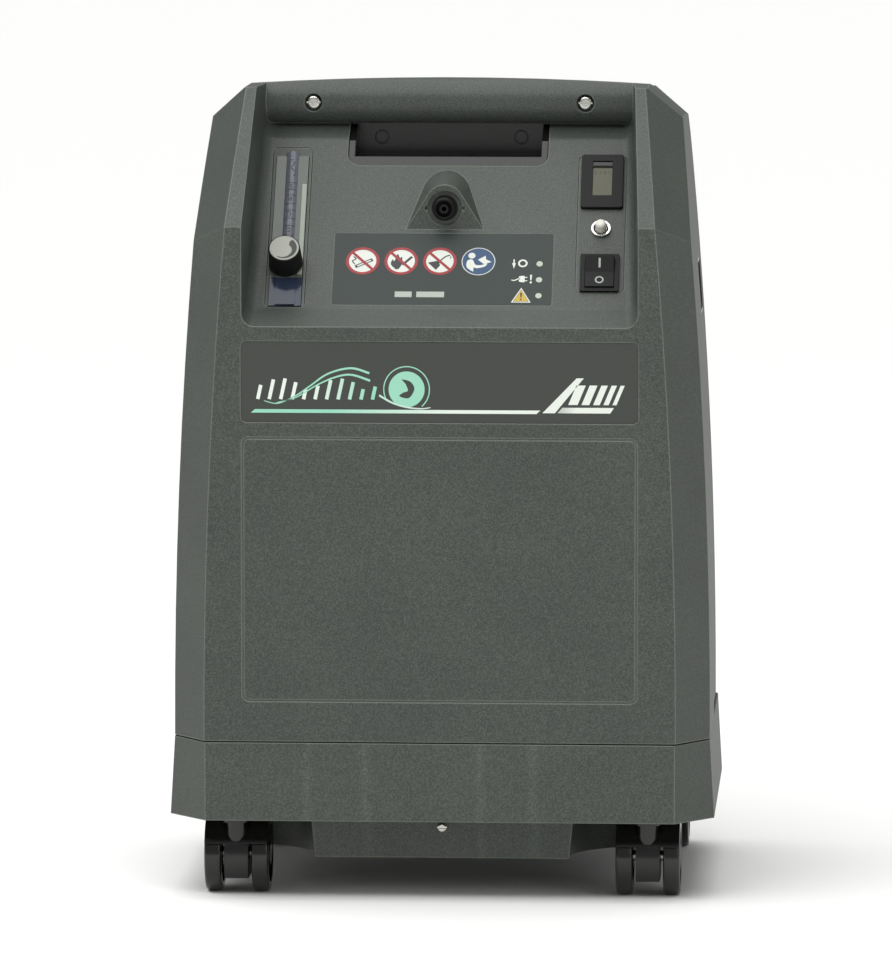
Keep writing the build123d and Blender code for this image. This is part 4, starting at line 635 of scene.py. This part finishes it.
tail = smooth_line([(-38.7, 330.0), (-30.2, 325.2), (-21.0, 322.4), (-12.0, 321.5), (-5.6, 322.2)])
printed("badge_tail", [stroke(tail, 1.4, 0.5)], FRONT, BADGE_TOP + INK, fade_ink)

SLANT = 0.42
bars = []
for foot, wide in ((83.0, 6.0), (91.5, 5.0), (99.0, 4.2), (105.6, 3.4), (111.4, 2.6)):
    low, high = 324.4, 337.0
    run = SLANT * (high - low)
    bars.append([(foot, low), (foot + wide, low), (foot + wide + run, high), (foot + run, high)])
bars.append([(66.4, 319.0), (74.4, 319.0), (93.0, 341.6), (88.4, 341.6)])
printed("emblem_bars", bars, FRONT, BADGE_TOP, emblem_ink)
printed(
    "emblem_foot",
    [[(76.0, 319.0), (110.0, 319.0), (112.4, 322.6), (79.2, 322.6)]],
    FRONT,
    BADGE_TOP,
    fading_bar_ink,
)

# ------------------------------------------------------------------- flowmeter markings


def on_tube(name, bands, finish):
    """Lines printed round the tube's front: each band is its height up the slope, half sweep and width."""
    made = []
    for v, half_sweep, width in bands:
        bpy.ops.mesh.primitive_circle_add(vertices=64, radius=(TUBE_R + 0.03) * MM, fill_type="NOTHING")
        ring = bpy.context.object
        bpy.ops.object.mode_set(mode="EDIT")
        bpy.ops.mesh.select_all(action="SELECT")
        bpy.ops.mesh.extrude_region_move(TRANSFORM_OT_translate={"value": (0, 0, width * MM)})
        bpy.ops.object.mode_set(mode="OBJECT")
        for element in (*ring.data.polygons, *ring.data.edges):
            element.select = False
        for vertex in ring.data.vertices:
            vertex.select = abs(degrees(atan2(vertex.co.x, -vertex.co.y))) > half_sweep
        bpy.ops.object.mode_set(mode="EDIT")
        bpy.ops.mesh.delete(type="VERT")
        bpy.ops.object.mode_set(mode="OBJECT")
        solid = ring.modifiers.new("Ink", "SOLIDIFY")
        solid.thickness, solid.offset = INK * MM, 1
        bpy.ops.object.modifier_apply(modifier="Ink")
        ring.matrix_world = Matrix.Translation((0, 0, (v - width / 2) * MM))
        made.append(ring)
    for ring in made:
        ring.select_set(True)
    bpy.context.view_layer.objects.active = made[0]
    bpy.ops.object.join()
    upright = Matrix.Rotation(-pi / 2, 4, "X")
    axis = PANEL @ Matrix.Translation((TUBE_X * MM, 0, TUBE_W * MM)) @ upright
    return settle(bpy.context.object, name, axis, finish)


FRONT_OF_TUBE = TUBE_W + TUBE_R + 0.02
MAJOR_MARKS = {"2": 63.5, "3": 76.0, "4": 88.0, "5": 98.0}
MINOR_MARKS = (57.0, 69.8, 82.0, 93.0)
on_tube(
    "tube_graduations",
    [(v + 0.6, 66, 0.5) for v in MAJOR_MARKS.values()] + [(v, 40, 0.45) for v in MINOR_MARKS],
    black_ink,
)
for digit, v in MAJOR_MARKS.items():
    numeral(f"tube_figure_{digit}", digit, 6.0, TUBE_X, v - 3.0, PANEL, FRONT_OF_TUBE, black_ink)
loop = smooth_line(
    [(-2.0, 104), (-3.0, 112), (-0.6, 117.4), (1.4, 114.0), (-0.4, 110.6), (2.4, 107.2), (1.0, 103.6)]
)
printed(
    "tube_swirl", [stroke([(TUBE_X + x, v) for x, v in loop], 0.6)], PANEL, FRONT_OF_TUBE, black_ink
)
printed(
    "sight_strip",
    [rectangle(TUBE_X + 7.3, TUBE_X + 10.1, 26, 98.5)],
    PANEL,
    0.62,
    printed_ink("sight_strip_ink", "#8E968B"),
)

bezel = [
    rectangle(TUBE_X - half, TUBE_X + half, low, high)
    for half, low, high in ((SLOT_HALF, SLOT_LOW, SLOT_HIGH), (BLOCK_HALF, BLOCK_LOW, BLOCK_HIGH))
]
printed(
    "flowmeter_bezel", bezel, PANEL, BEZEL_FOOT, FINISHES[
        "cabinet_plastic"
    ], thick=BEZEL_THICK
)

# -------------------------------------------------------------- knob, meter and switch

KNOB_FACE = PANEL @ Matrix.Translation((KNOB_X * MM, KNOB_V * MM, 0))
swirl = [
    (KNOB_CAP_R * 0.86 * cos(radians(a)), KNOB_CAP_R * 0.86 * sin(radians(a))) for a in range(34, -124, -6)
]
inner = []
for step, a in enumerate(range(-122, 35, 6)):
    reach = KNOB_CAP_R * (0.80 - 0.42 * (step / 26) ** 1.3)
    inner.append((reach * cos(radians(a)), reach * sin(radians(a))))
printed(
    "knob_swirl",
    [swirl + inner + [(3.2, 5.0), (5.2, 6.6)]],
    KNOB_FACE,
    KNOB_TOP + 0.01,
    black_ink,
    "flow_valve",
)

segment_ink = printed_ink("lcd_segment", "#23221A")
for index, digit in enumerate("0482"):
    numeral(f"meter_figure_{index}", digit, 3.6, 96.9 + 3.0 * index, 107.6, PANEL, METER_FACE, segment_ink)

window = rectangle(METER_X - 6.3, METER_X + 6.3, 113.1, 116.5)
printed("meter_window", [window], PANEL, METER_FACE, FINISHES["black_gloss"])
# painted shade: a dark ring laid in the breaker's well
well = [circle(METER_X, BREAKER_V, radius) for radius in (4.8, 3.7)]
printed("breaker_shade", well, PANEL, BREAKER_FLOOR, FINISHES["black_matte"])

PIVOT = PANEL @ Matrix.Translation((SWITCH_X * MM, SWITCH_V * MM, 0.9 * MM))
TILT = Matrix.Rotation(radians(8.0), 4, "X")
for name, outlines, side in (
    ("switch_on_mark", [stroke([(0, -3.2), (0, 3.2)], 1.3)], 1),
    ("switch_off_mark", [circle(0, 0, 2.8, 40), circle(0, 0, 1.9, 40)], -1),
):
    slope = radians(9.73) * side
    face = PIVOT @ TILT @ Matrix.Translation(
        (0, side * 6.2 * MM, 2.77 * MM)
    ) @ Matrix.Rotation(slope, 4, "X")
    printed(name, outlines, face, 0.02, grey_ink, "power_rocker")

# ------------------------------------------------------------------------------ studio

bpy.ops.object.select_all(action="DESELECT")
bpy.ops.mesh.primitive_plane_add(size=90)
floor = bpy.context.object
floor.name = "studio_floor"
paper, tree, shader, place = new_finish("pale_paper", Roughness=0.9)
shader.inputs["Base Color"].default_value = linear("#FAFAF8")
floor.data.materials.append(paper)

world = bpy.data.worlds.new("studio_air")
bpy.context.scene.world = world
world.use_nodes = True
air = world.node_tree.nodes["Background"]
air.inputs["Color"].default_value = linear("#FFFFFF")
air.inputs["Strength"].default_value = 0.38
bpy.context.scene.view_settings.view_transform = "Standard"


def soft_light(name, spot, aim, size, power):
    """A rectangular softbox at a spot in metres, turned to face its aim."""
    lamp = bpy.data.lights.new(name, "AREA")
    lamp.shape, lamp.size, lamp.size_y, lamp.energy = "RECTANGLE", size[0], size[1], power
    box = bpy.data.objects.new(name, lamp)
    bpy.context.scene.collection.objects.link(box)
    box.location = spot
    box.rotation_euler = (Vector(aim) - Vector(spot)).to_track_quat("-Z", "Y").to_euler()


MIDDLE = (0, -0.1, 0.3)
soft_light("key_softbox", (-0.35, -1.35, 2.0), (0, -0.1, 0.42), (2.4, 0.5), 20)
soft_light("fill_softbox", (2.4, -2.2, 1.2), MIDDLE, (1.4, 1.4), 9)
overhead = bpy.data.lights.new("overhead", "SUN")
overhead.energy, overhead.angle = 2.2, radians(70)
rig = bpy.data.objects.new("overhead", overhead)
bpy.context.scene.collection.objects.link(rig)
rig.rotation_euler = Vector((0.2, 0.0, -1.0)).to_track_quat("-Z", "Y").to_euler()

# ------------------------------------------------------------------------------ camera

lens = bpy.data.cameras.new("camera")
lens.sensor_fit, lens.sensor_height, lens.lens = "VERTICAL", 36, 287.2
camera = bpy.data.objects.new("camera", lens)
bpy.context.scene.collection.objects.link(camera)
TARGET = Vector((0.0044, -0.146, 0.271))
turn, rise = radians(3.3), radians(6.0)
camera.location = TARGET + 5 * Vector((sin(turn) * cos(rise), -cos(turn) * cos(rise), sin(rise)))
camera.rotation_euler = (TARGET - camera.location).to_track_quat("-Z", "Y").to_euler()
bpy.context.scene.camera = camera
